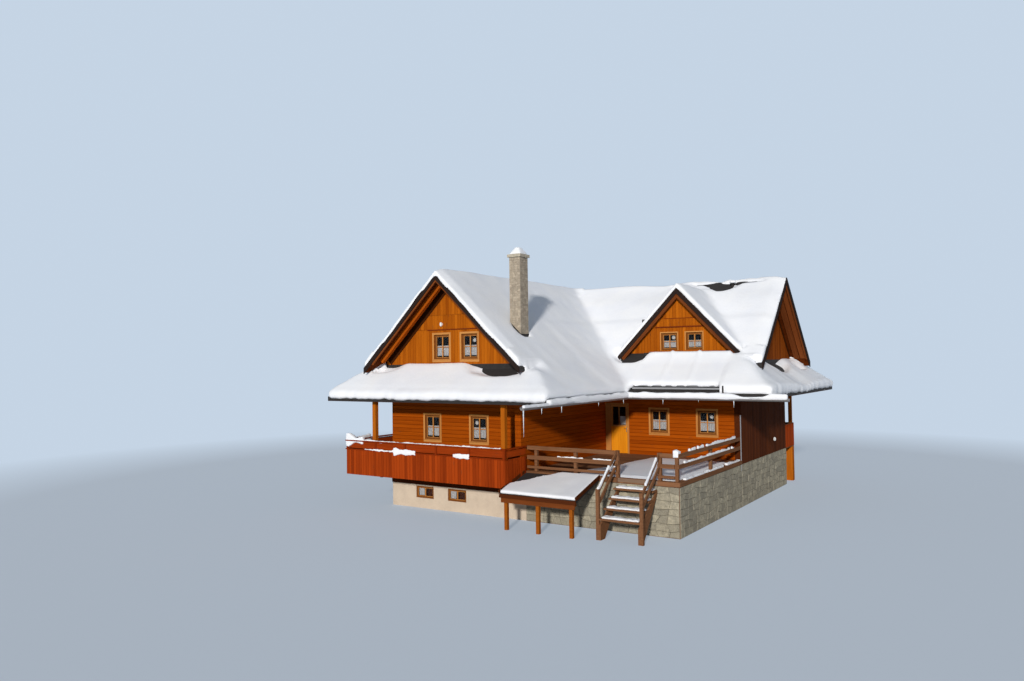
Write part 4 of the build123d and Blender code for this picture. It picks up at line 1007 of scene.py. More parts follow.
# %% [markdown]
# ## Depth of the snow
# Snow lies on the roof like a thick blanket. It is thin along the ridge, thick in the valley, blown up
# against the dormer, and it has slid off in a few spots. One could sculpt that by hand. Here one function
# says for each place how much of the full depth lies there, which is easy to change and comes out the
# same each time. The spots and the bank are ovals with soft edges, and noise makes the rest uneven.

# %% Depth of the snow
roof_faces = bmesh.new()
for name in ("left_roof", "inner_roof", "front_roof", "rear_roof", "pent_roofs", "dormer_roof",
             "apron_roof"):
    roof_faces.from_mesh(nodes[name].data)
roof_tree = BVHTree.FromBMesh(roof_faces)
print("roof faces under the snow:", len(roof_faces.faces))
roof_faces.free()


def soft_step(value, low, high):
    """Rise smoothly from 0 to 1 between two values."""
    share = min(1.0, max(0.0, (value - low) / (high - low)))
    return share * share * (3 - 2 * share)


# Thin and bare spots: middle, half widths, how much is gone, and the heights of roof between which it holds
bare_spots = [
    # on the pent roofs, at the foot of the gables
    (-3.35, -0.5, 1.15, 0.45, 0.62, 5.0, 5.56), (2.6, -0.42, 1.75, 0.7, 1.0, 5.0, 5.56),
    (9.6, 9.7, 0.42, 1.5, 1.0, 5.0, 5.56), (9.9, 12.3, 0.4, 0.6, 0.5, 5.0, 5.56),
    # beside the dormer and at the corner of the end gable
    (4.7, 5.98, 0.85, 0.5, 1.0, 5.0, 6.0), (9.1, 6.1, 0.28, 0.22, 1.0, 5.0, 6.0),
    # along the ridge of the main wing
    (7.5, 9.24, 0.85, 0.38, 1.0, 8.4, 10.0), (6.5, 9.38, 0.6, 0.15, 0.95, 8.4, 10.0),
    (8.6, 9.38, 0.7, 0.15, 0.95, 8.4, 10.0), (5.4, 9.36, 0.4, 0.14, 0.7, 8.4, 10.0),
]
# A bank of snow at the foot of the end verge: middle, half widths and how much more lies there
BANK_X, BANK_Y, BANK_HALF_X, BANK_HALF_Y, BANK_MORE = 9.9, 5.45, 0.75, 0.6, 0.3
EAVE_ROUNDING = 0.32
SEAM_X = (6.55, 7.68)


def snow_share(x, y, z, deck):
    """How much of the full depth of snow lies at a place, by the height of the roof below it too."""
    share = 0.95 + 0.12 * noise.noise(Vector((x * 0.45, y * 0.45, 3.1)))
    share += 0.05 * noise.noise(Vector((x * 1.7, y * 1.7, 8.4)))
    # thinner along the main ridge, most of all where the two wings meet
    ridge = 1 - soft_step(abs(y - MAIN_RIDGE_Y), 0.2, 1.4)
    share -= ridge * (0.35 + 0.35 * math.exp(-((x - 4.7) / 0.8) ** 2) if x > 0.5 else 0.1)
    # a step where the upper snow has crept down, on the main slope and on the inner slope
    if MAIN_RIDGE_Y > y > MAIN_RIDGE_Y - x:
        share += 0.15 * (1 - soft_step(y, 7.3, 7.64))
    elif 0 < x < MAIN_RIDGE_Y - y:
        share += 0.15 * soft_step(x, 1.98, 2.3) * soft_step(y, 2.9, 3.5)
    # thinner at the verges, round at the front eave
    if z > 6.3:
        share -= 0.3 * (1 - soft_step(y, -1.243, -0.8)) + 0.3 * soft_step(x, 9.7, 10.15)
    if z < 5.1 and y < 0:
        near_eave = min(1.0, max(0.0, (y - FRONT_EAVE) / EAVE_ROUNDING))
        share *= 0.45 + 0.55 * math.sqrt(1 - (1 - near_eave) ** 2)
    # blown up against the dormer, with two ridges over the seams of the sheet metal below
    if 5.35 < x < 8.95 and 4.5 < y < 6.25 and z < 6.3:
        share *= 1.0 + 1.1 * soft_step(y, 5.3, 6.2)
        share += sum(0.3 * math.exp(-((x - seam) / 0.06) ** 2) for seam in SEAM_X)
    if deck < 5.6:
        share += BANK_MORE * math.exp(-((x - BANK_X) / BANK_HALF_X) ** 2 - ((y - BANK_Y) / BANK_HALF_Y) ** 2)
    for x_mid, y_mid, x_half, y_half, gone, low, high in bare_spots:
        if low < deck < high:
            away = math.hypot((x - x_mid) / x_half, (y - y_mid) / y_half)
            away += (0.3 if deck > 8 else 0.06) * noise.noise(Vector((x * 2.4, y * 2.4, 6.0)))
            share *= 1 - gone * (1 - soft_step(away, 0.42, 1.15))
    return max(0.0, share)


# %% [markdown]
# ## Soft shapes from blocks
# Snow has no sharp edges. A bevel would round a slab, but not one that meets others at odd angles. A
# remesh modifier fills any shape with small cubes, and smoothing their corners rounds all edges at once.
# The smaller the cubes, the finer the surface and the longer it takes.


# %% Helper for soft shapes
def remeshed(mesh, voxel, smoothing=3):
    """The same shape rebuilt from even quads and smoothed."""
    data = bpy.data.meshes.new("rough")
    mesh.to_mesh(data)
    mesh.free()
    rough = bpy.data.objects.new("rough", data)
    scene.collection.objects.link(rough)
    modifier = rough.modifiers.new("remesh", "REMESH")
    modifier.mode = "VOXEL"
    modifier.voxel_size = voxel
    even = bmesh.new()
    even.from_object(rough, bpy.context.evaluated_depsgraph_get())
    bpy.data.objects.remove(rough)
    for turn in range(smoothing):
        bmesh.ops.smooth_vert(even, verts=even.verts, factor=0.5, use_axis_x=True, use_axis_y=True,
                              use_axis_z=True)
    shade_smooth(even)
    return even


print("helper for soft shapes is ready")

# %% [markdown]
# ## The blanket of snow
# The CAD model has the snow as sharp slabs. They are remeshed, then a ray looks down from each point to
# the roof, and the point is moved to the depth that the snow has there. Where nearly all of it is gone,
# the surface sinks just under the roof, so the roofing shows. At an eave the rim is pushed out and down:
# it hangs over like a lip, in small teeth. At the verges the lip is smaller and even.

# %% Blanket of snow
LIP_OUT, LIP_DOWN, LIP_FROM = 0.11, 0.15, 0.2
VERGE_LIP = (0.06, 0.05, 0.1)
SUNK, FILL, DEEPEST = 0.04, 1.13, 0.38
SNOW_FACE_Y, SNOW_FACE_X, DORMER_FACE_Y, APRON_Y = -1.243, 10.145, 5.95, 4.5


def hang_over(corner, axis, edge, sign, low_part, out_by=LIP_OUT, drop=LIP_DOWN, uneven=0.5):
    """Push the rim of the snow out over an edge of the roof and let its lower part hang in small teeth."""
    share = soft_step(sign * (corner[axis] - edge) + LIP_FROM, 0.0, LIP_FROM)
    if share:
        teeth = 1 + uneven * noise.noise(Vector((corner.x * 3.5, corner.y * 3.5, 0.4)))
        corner[axis] += sign * out_by * share * teeth
        corner.z -= drop * share * teeth * low_part


blanket = remeshed(copy_of("roof_snow"), 0.103)
down = Vector((0, 0, -1))
for vertex in blanket.verts:
    corner = vertex.co
    x, y, z = corner
    hit = roof_tree.ray_cast(Vector((x, y, z + 0.1)), down, 0.6)[0] or roof_tree.find_nearest(corner)[0]
    over = min(DEEPEST, max(0.0, z - hit.z))
    low_part = 1 - soft_step(over, 0.0, 0.22)
    corner.z = hit.z - SUNK + over * FILL * snow_share(x, y, z, hit.z)
    if hit.z < 5.35:
        if hit.z < 4.8 and y < 0:
            hang_over(corner, 1, FRONT_EAVE, -1, low_part)
        if hit.z < 4.8 and x > 9.5:
            hang_over(corner, 0, END_EAVE, 1, low_part)
        if 5.3 < x < 9.0 and 4.3 < y < 4.8:
            hang_over(corner, 1, APRON_Y, -1, low_part, 0.03, 0.08)
    elif y < -1.0:
        hang_over(corner, 1, SNOW_FACE_Y, -1, low_part, *VERGE_LIP)
    elif x > 9.9:
        hang_over(corner, 0, SNOW_FACE_X, 1, low_part, *VERGE_LIP)
    elif y < 6.1 and abs(x - DORMER_X) < 2.9 and hit.z > 6.15:
        hang_over(corner, 1, DORMER_FACE_Y, -1, low_part, 0.05, 0.04)
    corner.x = min(END_EAVE + 0.09, max(-EAVE_RUN + 0.002, corner.x))
    corner.y = min(REAR_EAVE - 0.002, corner.y)
new_piece("snow_blanket", blanket, snow_white, replaced=["roof_snow"])

# %% [markdown]
# ## Caps of snow
# The chimney and the lean-to carry caps of snow. They are made in the same way, in smaller cubes because
# they are small, and get only a little noise.

# %% Caps of snow on the chimney and the lean-to
caps = remeshed(copy_of("snow_caps"), 0.045)
for corner in caps.verts:
    if corner.co.z < 3:
        corner.co.z += 0.02 * noise.noise(corner.co * 1.6)
new_piece("snow_heaps", caps, snow_white, replaced=["snow_caps"])

# %% [markdown]
# ## Small drifts
# Snow also lies on the railings and the steps. Balls or blobs dropped there would look like beads on a
# string. Here a drift starts as a row of overlapping blocks on whatever lies below a line, found by rays
# as on the roof, and noise gives each block its height and leaves gaps.

# %% Helper for drifts
snow_carriers = bmesh.new()
for name in ("balcony_handrail", "terrace_front_rail", "terrace_side_rail", "stair_rails", "stairs",
             "terrace_floor"):
    snow_carriers.from_mesh(nodes[name].data)
carrier_tree = BVHTree.FromBMesh(snow_carriers)
print("faces that can carry drifts:", len(snow_carriers.faces))
snow_carriers.free()
HEAP_STEP = 0.08


def lay_snow(mesh, start, end, width, depth, cover=1.0):
    """A row of blocks on what lies under a line; noise sets their height and leaves gaps."""
    start, end = Vector(start), Vector(end)
    along = 0 if abs(end.x - start.x) > abs(end.y - start.y) else 1
    count = max(2, round((end - start).length / HEAP_STEP))
    for index in range(count + 1):
        spot = start.lerp(end, index / count)
        hit = carrier_tree.ray_cast(spot, down, 0.6)[0]
        uneven = noise.noise(spot * 2.3)
        if hit is None or uneven > cover:
            continue
        block = bmesh.ops.create_cube(mesh, size=1)["verts"]
        size = [width, width, 2 * depth * (0.85 + 0.75 * uneven)]
        size[along] = HEAP_STEP * 1.3
        bmesh.ops.scale(mesh, vec=size, verts=block)
        bmesh.ops.translate(mesh, vec=hit, verts=block)


# %% [markdown]
# ## Drifts on rails and steps
# A list says where the drifts lie. The steps get whole slabs of snow. All of it is one mesh that the
# remesh melts together, in cubes finer than those of the roof, and noise then makes it uneven.

# %% Drifts on rails and steps
drifts = new_boards()
# Each row: start, end, width, depth, and how much of the line is covered, where that isn't all of it
drift_rows = [
    # the corner, the handrail and the shelf of the balcony
    ((-4.43, -1.5, 2.9), (-3.6, -1.5, 2.9), 0.17, 0.2),
    ((-4.43, -1.5, 2.9), (-4.43, -0.3, 2.9), 0.15, 0.12),
    ((-3.5, -1.52, 2.9), (3.05, -1.52, 2.9), 0.09, 0.035),
    ((-3.4, -1.57, 2.6), (-1.9, -1.57, 2.6), 0.05, 0.04),
    ((-1.85, -1.57, 2.6), (-0.85, -1.57, 2.6), 0.06, 0.13),
    ((1.05, -1.57, 2.6), (1.7, -1.57, 2.6), 0.06, 0.09),
    # the rails of the terrace
    ((9.07, 0.9, 2.95), (9.07, 5.6, 2.95), 0.09, 0.09, 0.3),
    ((9.08, 0.2, 2.5), (9.08, 5.4, 2.5), 0.08, 0.08, 0.35),
    ((4.6, -0.1, 2.5), (6.8, -0.1, 2.5), 0.07, 0.05, 0.2),
    ((9.05, 0.1, 1.95), (9.05, 6.1, 1.95), 0.13, 0.07, 0.4),
    ((8.7, -0.04, 2.95), (9.05, -0.04, 2.95), 0.26, 0.17),
    ((8.5, -0.09, 2.5), (9.0, -0.09, 2.5), 0.1, 0.1),
    # the rails of the stairs
    ((6.895, -1.5, 1.9), (6.895, -0.3, 2.45), 0.08, 0.06, 0.3),
    ((8.425, -1.2, 2.3), (8.425, -0.3, 3.0), 0.08, 0.06, 0.2),
]
for row in drift_rows:
    lay_snow(drifts, *row)
STEP_RISE, STEP_GOING, STEP_TOP = 0.275, 0.36, 1.525
for step in range(4):
    level_z, back_y = STEP_TOP - STEP_RISE * step, FRONT_Y - STEP_GOING * step
    near, far = (7.0, back_y - STEP_GOING + 0.035, level_z - 0.02), (8.32, back_y - 0.02, level_z + 0.055)
    add_board(drifts, near, far, 0)
drifts = remeshed(drifts, 0.026, 4)
for corner in drifts.verts:
    corner.co.z += 0.022 * noise.noise(corner.co * 7.0) + 0.012 * noise.noise(corner.co * 17.0)
new_piece("rail_snow", drifts, snow_white)

# %% [markdown]
# ## Snow in the gutters
# The gutters are full, and the snow stands over their rims. Long boxes are remeshed like the drifts,
# noise raises and lowers their tops, and near the right end of the terrace gutter the snow thins out.

# %% Snow in the gutters
GUTTER_BED, GUTTER_SNOW_TOP, THIN_X = 4.28, 4.52, 10.2
gutter_drift = new_boards()
add_board(gutter_drift, (5.205, -1.9, GUTTER_BED), (5.4, 4.22, GUTTER_SNOW_TOP), 1)
add_board(gutter_drift, (5.235, -3.46, GUTTER_BED), (5.37, -1.9, 4.4), 1)
add_board(gutter_drift, (5.25, 4.1, GUTTER_BED), (11.46, 4.295, GUTTER_SNOW_TOP), 0)
gutter_drift = remeshed(gutter_drift, 0.045)
for corner in gutter_drift.verts:
    lift = 0.5 + noise.noise(corner.co * 1.3) + 0.5 * noise.noise(corner.co * 4.1)
    corner.co.z += 0.045 * lift - 0.035 if corner.co.z > 4.35 else -0.02 * lift
    thin = 1 - soft_step(abs(corner.co.x - THIN_X), 0.3, 0.8) if corner.co.x > 5.6 else 0.0
    if corner.co.z > 4.34:
        corner.co.z -= 0.13 * thin * (corner.co.z - 4.3) / 0.22
new_piece("gutter_snow", gutter_drift, snow_white)

# %% [markdown]
# ## Snow on the terrace
# A thin sheet of snow covers the outer part of the terrace and runs out towards the house walls. It is a
# grid whose points are lifted by the distance to a ragged line. Where the depth is below zero the sheet
# lies under the boards and doesn't show.

# %% Snow on the terrace
terrace_snow = bmesh.new()
bmesh.ops.create_grid(terrace_snow, x_segments=44, y_segments=62, size=0.5)
bmesh.ops.scale(terrace_snow, vec=(4.3, 6.2, 1), verts=terrace_snow.verts)
bmesh.ops.translate(terrace_snow, vec=(6.9, 3.02, 1.8), verts=terrace_snow.verts)
for corner in terrace_snow.verts:
    x, y = corner.co.x, corner.co.y
    ragged = 0.35 * noise.noise(Vector((x * 1.1, y * 1.1, 5.0)))
    depth = min(x - 5.15 - 0.1 * y, 5.4 - y, 1.0) + ragged
    corner.co.z += min(0.075, 0.2 * depth) + 0.012 * noise.noise(Vector((x * 3, y * 3, 1.0)))
    if min(x - 4.8, 9.0 - x, y + 0.02, 6.0 - y) < 0.06:
        corner.co.z = 1.79
bmesh.ops.solidify(terrace_snow, geom=terrace_snow.faces[:], thickness=0.03)
bmesh.ops.recalc_face_normals(terrace_snow, faces=terrace_snow.faces[:])
shade_smooth(terrace_snow)
new_piece("terrace_snow", terrace_snow, snow_white)

# %% [markdown]
# ## Icicles
# A few icicles hang from the gutters, one long one at the corner. They are thin cones that end in a point
# a few millimetres wide, because a sharp tip would have faces without any area.

# %% Icicles
SIDE_GUTTER_X, TERRACE_GUTTER_Y, GUTTER_FOOT = 5.32, 4.18, 4.24
spikes = [(SIDE_GUTTER_X, -3.44, 0.85, 0.022), (SIDE_GUTTER_X, -2.35, 0.2, 0.02),
          (SIDE_GUTTER_X, -1.06, 0.24, 0.02), (SIDE_GUTTER_X, 1.64, 0.14, 0.016),
          (SIDE_GUTTER_X, 3.74, 0.16, 0.018), (6.78, TERRACE_GUTTER_Y, 0.18, 0.018),
          (9.54, TERRACE_GUTTER_Y, 0.26, 0.02), (8.2, TERRACE_GUTTER_Y, 0.08, 0.012)]
icicles = bmesh.new()
for x, y, length, radius in spikes:
    spike = bmesh.ops.create_cone(icicles, cap_ends=True, segments=8, radius1=0.002, radius2=radius,
                                  depth=length)
    bmesh.ops.translate(icicles, vec=(x, y, GUTTER_FOOT - length / 2), verts=spike["verts"])
new_piece("icicles", icicles, ice)

# %% [markdown]
# ## Stone
# The plinth and the wall under the terrace are rubble, the chimney is built of small blocks. A bump map
# alone would look flat where the low light grazes the wall. So the stones are a grid pulled out of line:
# its cells are inset, which leaves the joints, and each cell is then pushed out by its own amount. The
# corners of a stone carry its tone and the joints stay dark.


# %% Rubble stones
def stone_face(mesh, place, width, height, course, long, joint, proud):
    """Rough stones on a wall from a grid with moved corners, inset and raised."""
    part = new_boards()
    tone = part.verts.layers.float["tone"]
    bmesh.ops.create_grid(part, x_segments=max(2, round(width / long)), y_segments=round(height / course),
                          size=0.5)
    bmesh.ops.scale(part, vec=(width, height, 1), verts=part.verts)
    for corner in part.verts:
        if not corner.is_boundary:
            corner.co += Vector((dice.uniform(-0.3, 0.3) * long, dice.uniform(-0.28, 0.28) * course, 0))
    stones = part.faces[:]
    bmesh.ops.inset_individual(part, faces=stones, thickness=joint, depth=0)
    for stone in stones:
        shade, out_by = dice.uniform(0.25, 1.0), dice.uniform(0.55, 1.0) * proud
        for corner in stone.verts:
            corner[tone] = shade
            corner.co.z += out_by
    part.normal_update()
    bmesh.ops.transform(part, matrix=place @ Matrix.Rotation(-math.pi / 2, 4, "X"), verts=part.verts)
    pour_into(mesh, part)


def wall_stones(name, faces, material, course, long, joint, proud):
    """Stones on several faces; each is an outward direction, the middle of the face and its size."""
    mesh = new_boards()
    for outward, middle, width, height in faces:
        outward = Vector(outward)
        across = outward.cross(Vector((0, 0, 1)))
        turn = Matrix((across, outward, Vector((0, 0, -1)))).transposed().to_4x4()
        place = Matrix.Translation(Vector(middle)) @ turn
        stone_face(mesh, place, width, height, course, long, joint, proud)
    return new_piece(name, mesh, material)


PLINTH_TOP, END_WALL_X = 1.65, 9.12
plinth_middle, plinth_height = PLINTH_TOP / 2, PLINTH_TOP - 0.02
wall_stones("plinth_stones", [
    ((1, 0, 0), (END_WALL_X, 9.5, plinth_middle), 6.5, plinth_height),
    ((1, 0, 0), (END_WALL_X, 3.05, plinth_middle), 6.36, plinth_height),
    ((0, -1, 0), (6.185, -0.15, plinth_middle), 5.85, plinth_height),
    ((0, 1, 0), (2.935, 12.75, plinth_middle), 12.37, plinth_height),
], stone_mix, 0.22, 0.36, 0.014, 0.03)
CHIMNEY_X, CHIMNEY_Y, CHIMNEY_W, CHIMNEY_D = 2.455, 0.753, 0.48, 0.54
shaft_middle, shaft_height = 8.25, 2.92
wall_stones("chimney_stones", [
    ((side, 0, 0), (CHIMNEY_X + side * CHIMNEY_W / 2, CHIMNEY_Y, shaft_middle), CHIMNEY_D, shaft_height)
    for side in (-1, 1)] + [
    ((0, side, 0), (CHIMNEY_X, CHIMNEY_Y + side * CHIMNEY_D / 2, shaft_middle), CHIMNEY_W, shaft_height)
    for side in (-1, 1)], brick_mix, 0.09, 0.13, 0.006, 0.008)

# %% [markdown]
# ## Cladding and trim near the ground
# Upright boards clad the shaded end wall and make the parapet of the rear porch. The end wall's boards
# are nearly black, which is painted shade. The terrace has a floor of single boards with narrow gaps and a
# wider board along its edge, and a metal strip covers the corner where end wall and terrace meet. The CAD
# model has plain faces there. The boards lie on them, so that each has its own tone and a real joint.

# %% Boards low down
TERRACE_TOP, PORCH_BACK, PORCH_LEFT = 1.8, 14.25, 5.2
EDGE_LOW, EDGE_TOP, DECK_PITCH = 1.665, TERRACE_TOP + 0.008, 0.139
end_wall_place = facing((0, 1, 0), (1, 0, 0), (END_WALL_X, 0, 0))
# The end wall's boards are nearly black as painted shade.
end_boards = new_boards()
upright_row(end_boards, end_wall_place, 6.26, 12.74, 1.66, 4.48, [], 0.16, 0.006, 0.015)
finish_boards("end_wall_boards", end_boards, dark_wood, edge=0.003)
board_piece("terrace_edge_boards", [
    ((3.3, FRONT_Y - 0.055, EDGE_LOW), (6.93, FRONT_Y - 0.001, EDGE_TOP), 0),
    ((8.39, FRONT_Y - 0.055, EDGE_LOW), (9.16, FRONT_Y - 0.001, EDGE_TOP), 0),
    ((END_WALL_X + 0.001, FRONT_Y, EDGE_LOW), (END_WALL_X + 0.04, 6.23, EDGE_TOP), 1),
], grey_wood, edge=0.003)
board_piece("corner_strip", [
    ((END_WALL_X + 0.002, 6.16, 1.4), (END_WALL_X + 0.03, 6.21, 3.58), 2),
], sheet_metal, edge=0.003)
fronts = [FRONT_Y + 0.002 + index * DECK_PITCH for index in range(46)]
board_piece("terrace_boards", [
    ((3.26, front, TERRACE_TOP + 0.001), (9.11, front + DECK_PITCH - 0.008, TERRACE_TOP + 0.009), 0)
    for front in fronts], grey_wood, edge=0.002)
porch_boards = new_boards()
porch_row = (1.66, 2.7, [], 0.13, 0.008, 0.018)
upright_row(porch_boards, end_wall_place, 12.8, PORCH_BACK, *porch_row)
porch_rear = facing((-1, 0, 0), (0, 1, 0), (0, PORCH_BACK, 0))
upright_row(porch_boards, porch_rear, -END_WALL_X, -PORCH_LEFT, *porch_row)
finish_boards("porch_boards", porch_boards, balcony_wood, edge=0.003)

# %% [markdown]
# ## Edges of the lean-to roof
# The small roof in front of the terrace is edged by dark boards, level at the front and sloping at the
# sides, and rests on a plate over its posts.

# %% Edges of the lean-to roof
SHED_LEFT, SHED_RIGHT, SHED_FRONT, SHED_SLOPE, SHED_EAVE = 3.29, 6.27, -1.91, 0.301, 1.235
shed_trim = new_boards()
add_board(shed_trim, (SHED_LEFT, SHED_FRONT - 0.03, 1.11),
          (SHED_RIGHT + 0.03, SHED_FRONT - 0.001, SHED_EAVE), 0)
for x in (SHED_LEFT - 0.0155, SHED_RIGHT + 0.0155):
    sloped_beam(shed_trim, (x, SHED_FRONT, SHED_EAVE), (0, -1, 0), SHED_SLOPE, 1.8, 0.0, 0.125, 0.029)
finish_boards("lean_to_edges", shed_trim, dark_wood, edge=0.003)
# The plate under the lean-to is dark brown as painted shade.
board_piece("lean_to_plate", [
    ((SHED_LEFT + 0.04, SHED_FRONT + 0.02, 0.94), (SHED_RIGHT - 0.04, SHED_FRONT + 0.06, 1.1), 0),
], verge_trim, edge=0.004)

# %% [markdown]
# ## Entrance door
# The leaf of the CAD model is a plain slab with a pane. Upright boards are nailed on its outer face, with
# rails round the pane, a bar in its middle and a handle, and a small white card hangs behind the glass.
# All of it rides on the door, a little inside its edges, so that it swings free. Pieces parented to the
# leaf would move with it too; here each piece names its body and is parented to an empty named after it.

# %% Boards and handle of the door
LEAF_LEFT, LEAF_RIGHT, LEAF_LOW, LEAF_HIGH, LEAF_FACE = 3.502, 4.258, 1.818, 3.856, 6.279
PANE_LOW, PANE_HIGH, PANE_LEFT, PANE_RIGHT = 3.0, 3.797, 3.563, 4.197
leaf_place = facing((1, 0, 0), (0, -1, 0), (0, LEAF_FACE, 0))
leaf_boards, leaf_bars = new_boards(), new_boards()
upright_row(leaf_boards, leaf_place, LEAF_LEFT, LEAF_RIGHT, LEAF_LOW, PANE_LOW - 0.05, [], 0.108, 0.004,
            0.009)
for low, high in ((PANE_LOW - 0.05, PANE_LOW + 0.01), (PANE_HIGH - 0.01, LEAF_HIGH)):
    add_board(leaf_bars, (LEAF_LEFT, 0, low), (LEAF_RIGHT, 0.011, high), 0, leaf_place)
for left, right in ((LEAF_LEFT, PANE_LEFT + 0.01), (PANE_RIGHT - 0.01, LEAF_RIGHT), (3.865, 3.895)):
    add_board(leaf_bars, (left, 0, PANE_LOW + 0.01), (right, 0.0105, PANE_HIGH - 0.01), 2, leaf_place)
finish_boards("door_boards", leaf_boards, door_wood, "door", edge=0.002)
finish_boards("door_bars", leaf_bars, trim_wood, "door", edge=0.002)
card = new_boards()
add_board(card, (3.9, -0.0645, PANE_LOW + 0.03), (4.16, -0.0615, PANE_LOW + 0.38), 0, leaf_place)
finish_boards("card_behind_door_pane", card, paper, "door", edge=0.0005)
# The handle is a plate, a stem and a grip
handle = bmesh.new()
for low, high in (((4.2, 0.0, 2.72), (4.236, 0.0115, 2.93)), ((4.212, 0.01, 2.86), (4.226, 0.05, 2.874)),
                  ((4.11, 0.04, 2.859), (4.227, 0.052, 2.875))):
    corners = bmesh.ops.create_cube(handle, size=1)["verts"]
    bmesh.ops.scale(handle, vec=Vector(high) - Vector(low), verts=corners)
    bmesh.ops.translate(handle, vec=(Vector(high) + Vector(low)) / 2, verts=corners)
bmesh.ops.transform(handle, matrix=leaf_place, verts=handle.verts)
bmesh.ops.recalc_face_normals(handle, faces=handle.faces[:])
bmesh.ops.bevel(handle, geom=handle.edges[:], offset=0.003, offset_type="OFFSET", segments=2, profile=0.5,
                affect="EDGES", material=-1)
new_piece("door_handle", handle, brass, "door")

# %% [markdown]
# ## Lamps and vent
# A lamp hangs in the front gable and one on the end wall: a stretched ball of milk glass on a short foot.
# Near the ridge a vent pipe with a hood stands out of the roof, with a cap of snow. They are small in the
# picture, but they give the eye a measure for the size of the house.

# %% Lamps and vent
lamps = bmesh.new()
for middle, outward in (((-0.38, -0.47, 7.26), (0, -1, 0)), ((END_WALL_X + 0.06, 10.77, 2.24), (1, 0, 0))):
    ball = bmesh.ops.create_uvsphere(lamps, u_segments=16, v_segments=10, radius=1)["verts"]
    bmesh.ops.scale(lamps, vec=(0.055, 0.055, 0.085), verts=ball)
    bmesh.ops.translate(lamps, vec=middle, verts=ball)
    foot = bmesh.ops.create_cone(lamps, cap_ends=True, segments=16, radius1=0.06, radius2=0.05, depth=0.05)
    turn = Vector(outward).to_track_quat("Z", "Y").to_matrix().to_4x4()
    behind = Matrix.Translation(Vector(middle) - Vector(outward) * 0.03)
    bmesh.ops.transform(lamps, matrix=behind @ turn, verts=foot["verts"])
new_piece("wall_lamps", lamps, milk_glass)

VENT = Vector((7.96, 9.25, 8.85))
vent = bmesh.new()
for wide, narrow, tall, above in ((0.06, 0.06, 0.36, 0.0), (0.13, 0.05, 0.07, 0.2)):
    part = bmesh.ops.create_cone(vent, cap_ends=True, segments=16, radius1=wide, radius2=narrow, depth=tall)
    bmesh.ops.translate(vent, vec=VENT + Vector((0, 0, above)), verts=part["verts"])
new_piece("vent_pipe", vent, roofing)
cap = bmesh.new()
bmesh.ops.create_icosphere(cap, subdivisions=3, radius=0.13)
bmesh.ops.scale(cap, vec=(1, 1, 0.6), verts=cap.verts)
bmesh.ops.translate(cap, vec=VENT + Vector((0, 0, 0.26)), verts=cap.verts)
shade_smooth(cap)
new_piece("vent_snow", cap, snow_white)

# %% [markdown]
# ## Sheet metal details
# Where roofs meet walls the roofing is turned up: beside the dormer, at the end of the gutter, along the
# lower edge of the sheet roof, which has a bright lip, and round the chimney, where a collar is cut along
# the slope. Each is a board of metal in the right place.

# %% Sheet metal details
board_piece("sheet_upturns", [
    ((5.2, 6.0, 5.86), (5.36, 6.24, 6.07), 0), ((5.16, 5.97, 7.2), (5.27, 6.1, 7.46), 0),
    ((9.1, 4.2, 4.3), (9.15, 4.24, 4.78), 2), ((5.36, 4.47, 4.46), (8.94, 4.49, 4.625), 0),
], roofing)
board_piece("apron_lip", [((5.36, 4.45, 4.625), (8.94, 4.49, 4.695), 0)], sheet_metal)
flashing = new_boards()
add_board(flashing, (2.2, 0.468, 6.2), (2.71, 1.038, 8.0), 2)
cut_mesh(flashing, Vector((CHIMNEY_X, 0.75, 7.06)), Vector((SLOPE, 0, 1)).normalized())
finish_boards("chimney_flashing", flashing, roofing)

# %% [markdown]
# ## Paper stars
# White paper stars hang in four windows, between curtain and glass. A star is a circle with every second
# point drawn in, given the thickness of card.

# %% Paper stars
STAR_R, STAR_INNER, LOWER_STAR_Z = 0.1, 0.52, 3.46
stars = bmesh.new()
star_spots = [
    (front_place, attic_x[1] + 0.16, 6.62),
    (dormer_place, dormer_x[0] - DORMER_X + 0.15, 6.68),
    (wall_entrance, entrance_x[1] + 0.16, LOWER_STAR_Z),
    (wall_front, front_x[1] - 0.16, LOWER_STAR_Z),
]
for place, along, level_z in star_spots:
    tips = bmesh.ops.create_circle(stars, cap_ends=True, segments=16, radius=STAR_R)["verts"]
    for index, corner in enumerate(tips):
        corner.co *= 1.0 if index % 2 else STAR_INNER
    turn = place @ Matrix.Translation((along, -0.094, level_z)) @ Matrix.Rotation(math.pi / 2, 4, "X")
    bmesh.ops.transform(stars, matrix=turn, verts=tips)
bmesh.ops.solidify(stars, geom=stars.faces[:], thickness=0.003)
bmesh.ops.recalc_face_normals(stars, faces=stars.faces[:])
new_piece("paper_stars", stars, paper)

# %% [markdown]
# ## Background
# The background is plain and pale. The world fills the shade with a weak blue light, as on a clear day in
# winter. The Light Path node shows the paler backdrop to the camera, to gloss and to glass only, so that
# it adds no light of its own.

# %% Background
BACKDROP = rgba(0.56, 0.66, 0.78)
world = bpy.data.worlds.new("studio")
scene.world = world
world.use_nodes = True
tree = world.node_tree
tree.nodes.clear()
light_path = add_node(tree, "LightPath").outputs
seen = maths(tree, "MAXIMUM", light_path["Is Camera Ray"],
             maths(tree, "MAXIMUM", light_path["Is Glossy Ray"], light_path["Is Transmission Ray"]))
fill = add_node(tree, "Background", {"Color": rgba(0.62, 0.77, 1.0), "Strength": 0.19})
shown = add_node(tree, "Background", {"Color": BACKDROP, "Strength": 1.0})
both = add_node(tree, "MixShader", {0: seen, 1: fill.outputs[0], 2: shown.outputs[0]})
add_node(tree, "OutputWorld", {"Surface": both.outputs[0]})
print("background:", world.name)

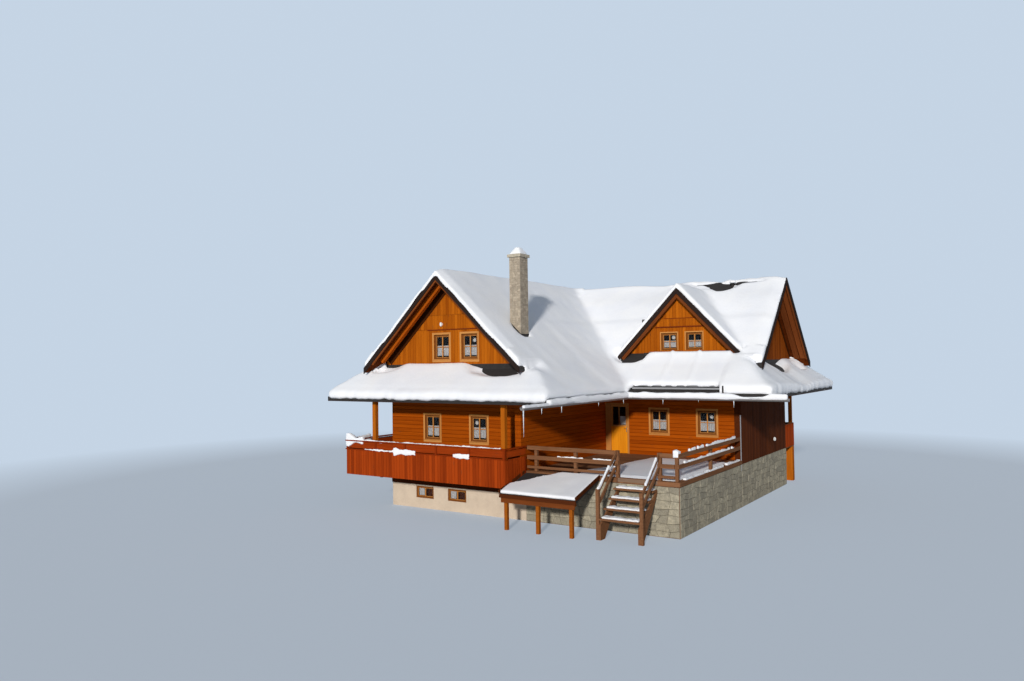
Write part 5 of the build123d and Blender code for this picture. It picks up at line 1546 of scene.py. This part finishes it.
# %% [markdown]
# ## Floor
# A snow-white floor would throw much light up under the eaves, a dark one would look heavy. So the floor
# is grey, which sets the light it throws back, and to the camera alone nearly half of the backdrop's
# colour is mixed in, which makes it paler in the picture. Far out it turns wholly into the backdrop, so
# there is no hard horizon behind the house.

# %% Floor
PALE_SHARE, FADE_FROM, FADE_TO = 0.45, 14.0, 38.0
floor_mesh = bmesh.new()
bmesh.ops.create_circle(floor_mesh, cap_ends=True, segments=96, radius=400)
bmesh.ops.translate(floor_mesh, vec=(2, 4, 0), verts=floor_mesh.verts)
floor_data = bpy.data.meshes.new("stage_floor")
floor_mesh.to_mesh(floor_data)
floor_mesh.free()
floor = bpy.data.objects.new("stage_floor", floor_data)
scene.collection.objects.link(floor)
material, tree, shader = start_material("stage_floor")
shader.inputs["Base Color"].default_value = rgba(0.56, 0.58, 0.61)
shader.inputs["Roughness"].default_value = 0.9
place = add_node(tree, "TexCoord").outputs["Object"]
away = add_node(tree, "VectorMath", {0: place, 1: (3.0, 5.0, 0.0)}, operation="DISTANCE").outputs["Value"]
glow = add_node(tree, "Emission", {"Color": BACKDROP, "Strength": 1.0})
pale = maths(tree, "MULTIPLY", add_node(tree, "LightPath").outputs["Is Camera Ray"], PALE_SHARE)
share = maths(tree, "MAXIMUM", spread(tree, away, FADE_FROM, FADE_TO), pale)
fade = add_node(tree, "MixShader", {0: share, 1: shader.outputs[0], 2: glow.outputs[0]})
surface = [item for item in tree.nodes if item.bl_idname == "ShaderNodeOutputMaterial"][0]
tree.links.new(fade.outputs[0], surface.inputs["Surface"])
floor_data.materials.append(material)
print("floor reaches", round(floor.dimensions.x / 2), "m out")

# %% [markdown]
# ## Light
# One wide lamp stands in for the low winter light. Its height and direction are those of the shadows of
# the eave and the chimney: about 17 degrees up, 20 degrees to the right of the front. It is a little
# warm, and its angle makes the edges of the shadows soft.

# %% Light
LIGHT_STRENGTH, LIGHT_HEIGHT, LIGHT_SIDE = 2.95, math.radians(17.5), math.radians(19.5)
lamp_data = bpy.data.lights.new("winter_light", "SUN")
lamp_data.energy = LIGHT_STRENGTH
lamp_data.angle = math.radians(4)
lamp_data.color = (1.0, 0.965, 0.915)
lamp = bpy.data.objects.new("winter_light", lamp_data)
scene.collection.objects.link(lamp)
level_part = math.cos(LIGHT_HEIGHT)
toward = Vector((math.sin(LIGHT_SIDE) * level_part, -math.cos(LIGHT_SIDE) * level_part,
                 math.sin(LIGHT_HEIGHT)))
lamp.rotation_euler = toward.to_track_quat("Z", "Y").to_euler()
scene.view_settings.view_transform = "Standard"
print("light:", lamp.name, lamp_data.energy)
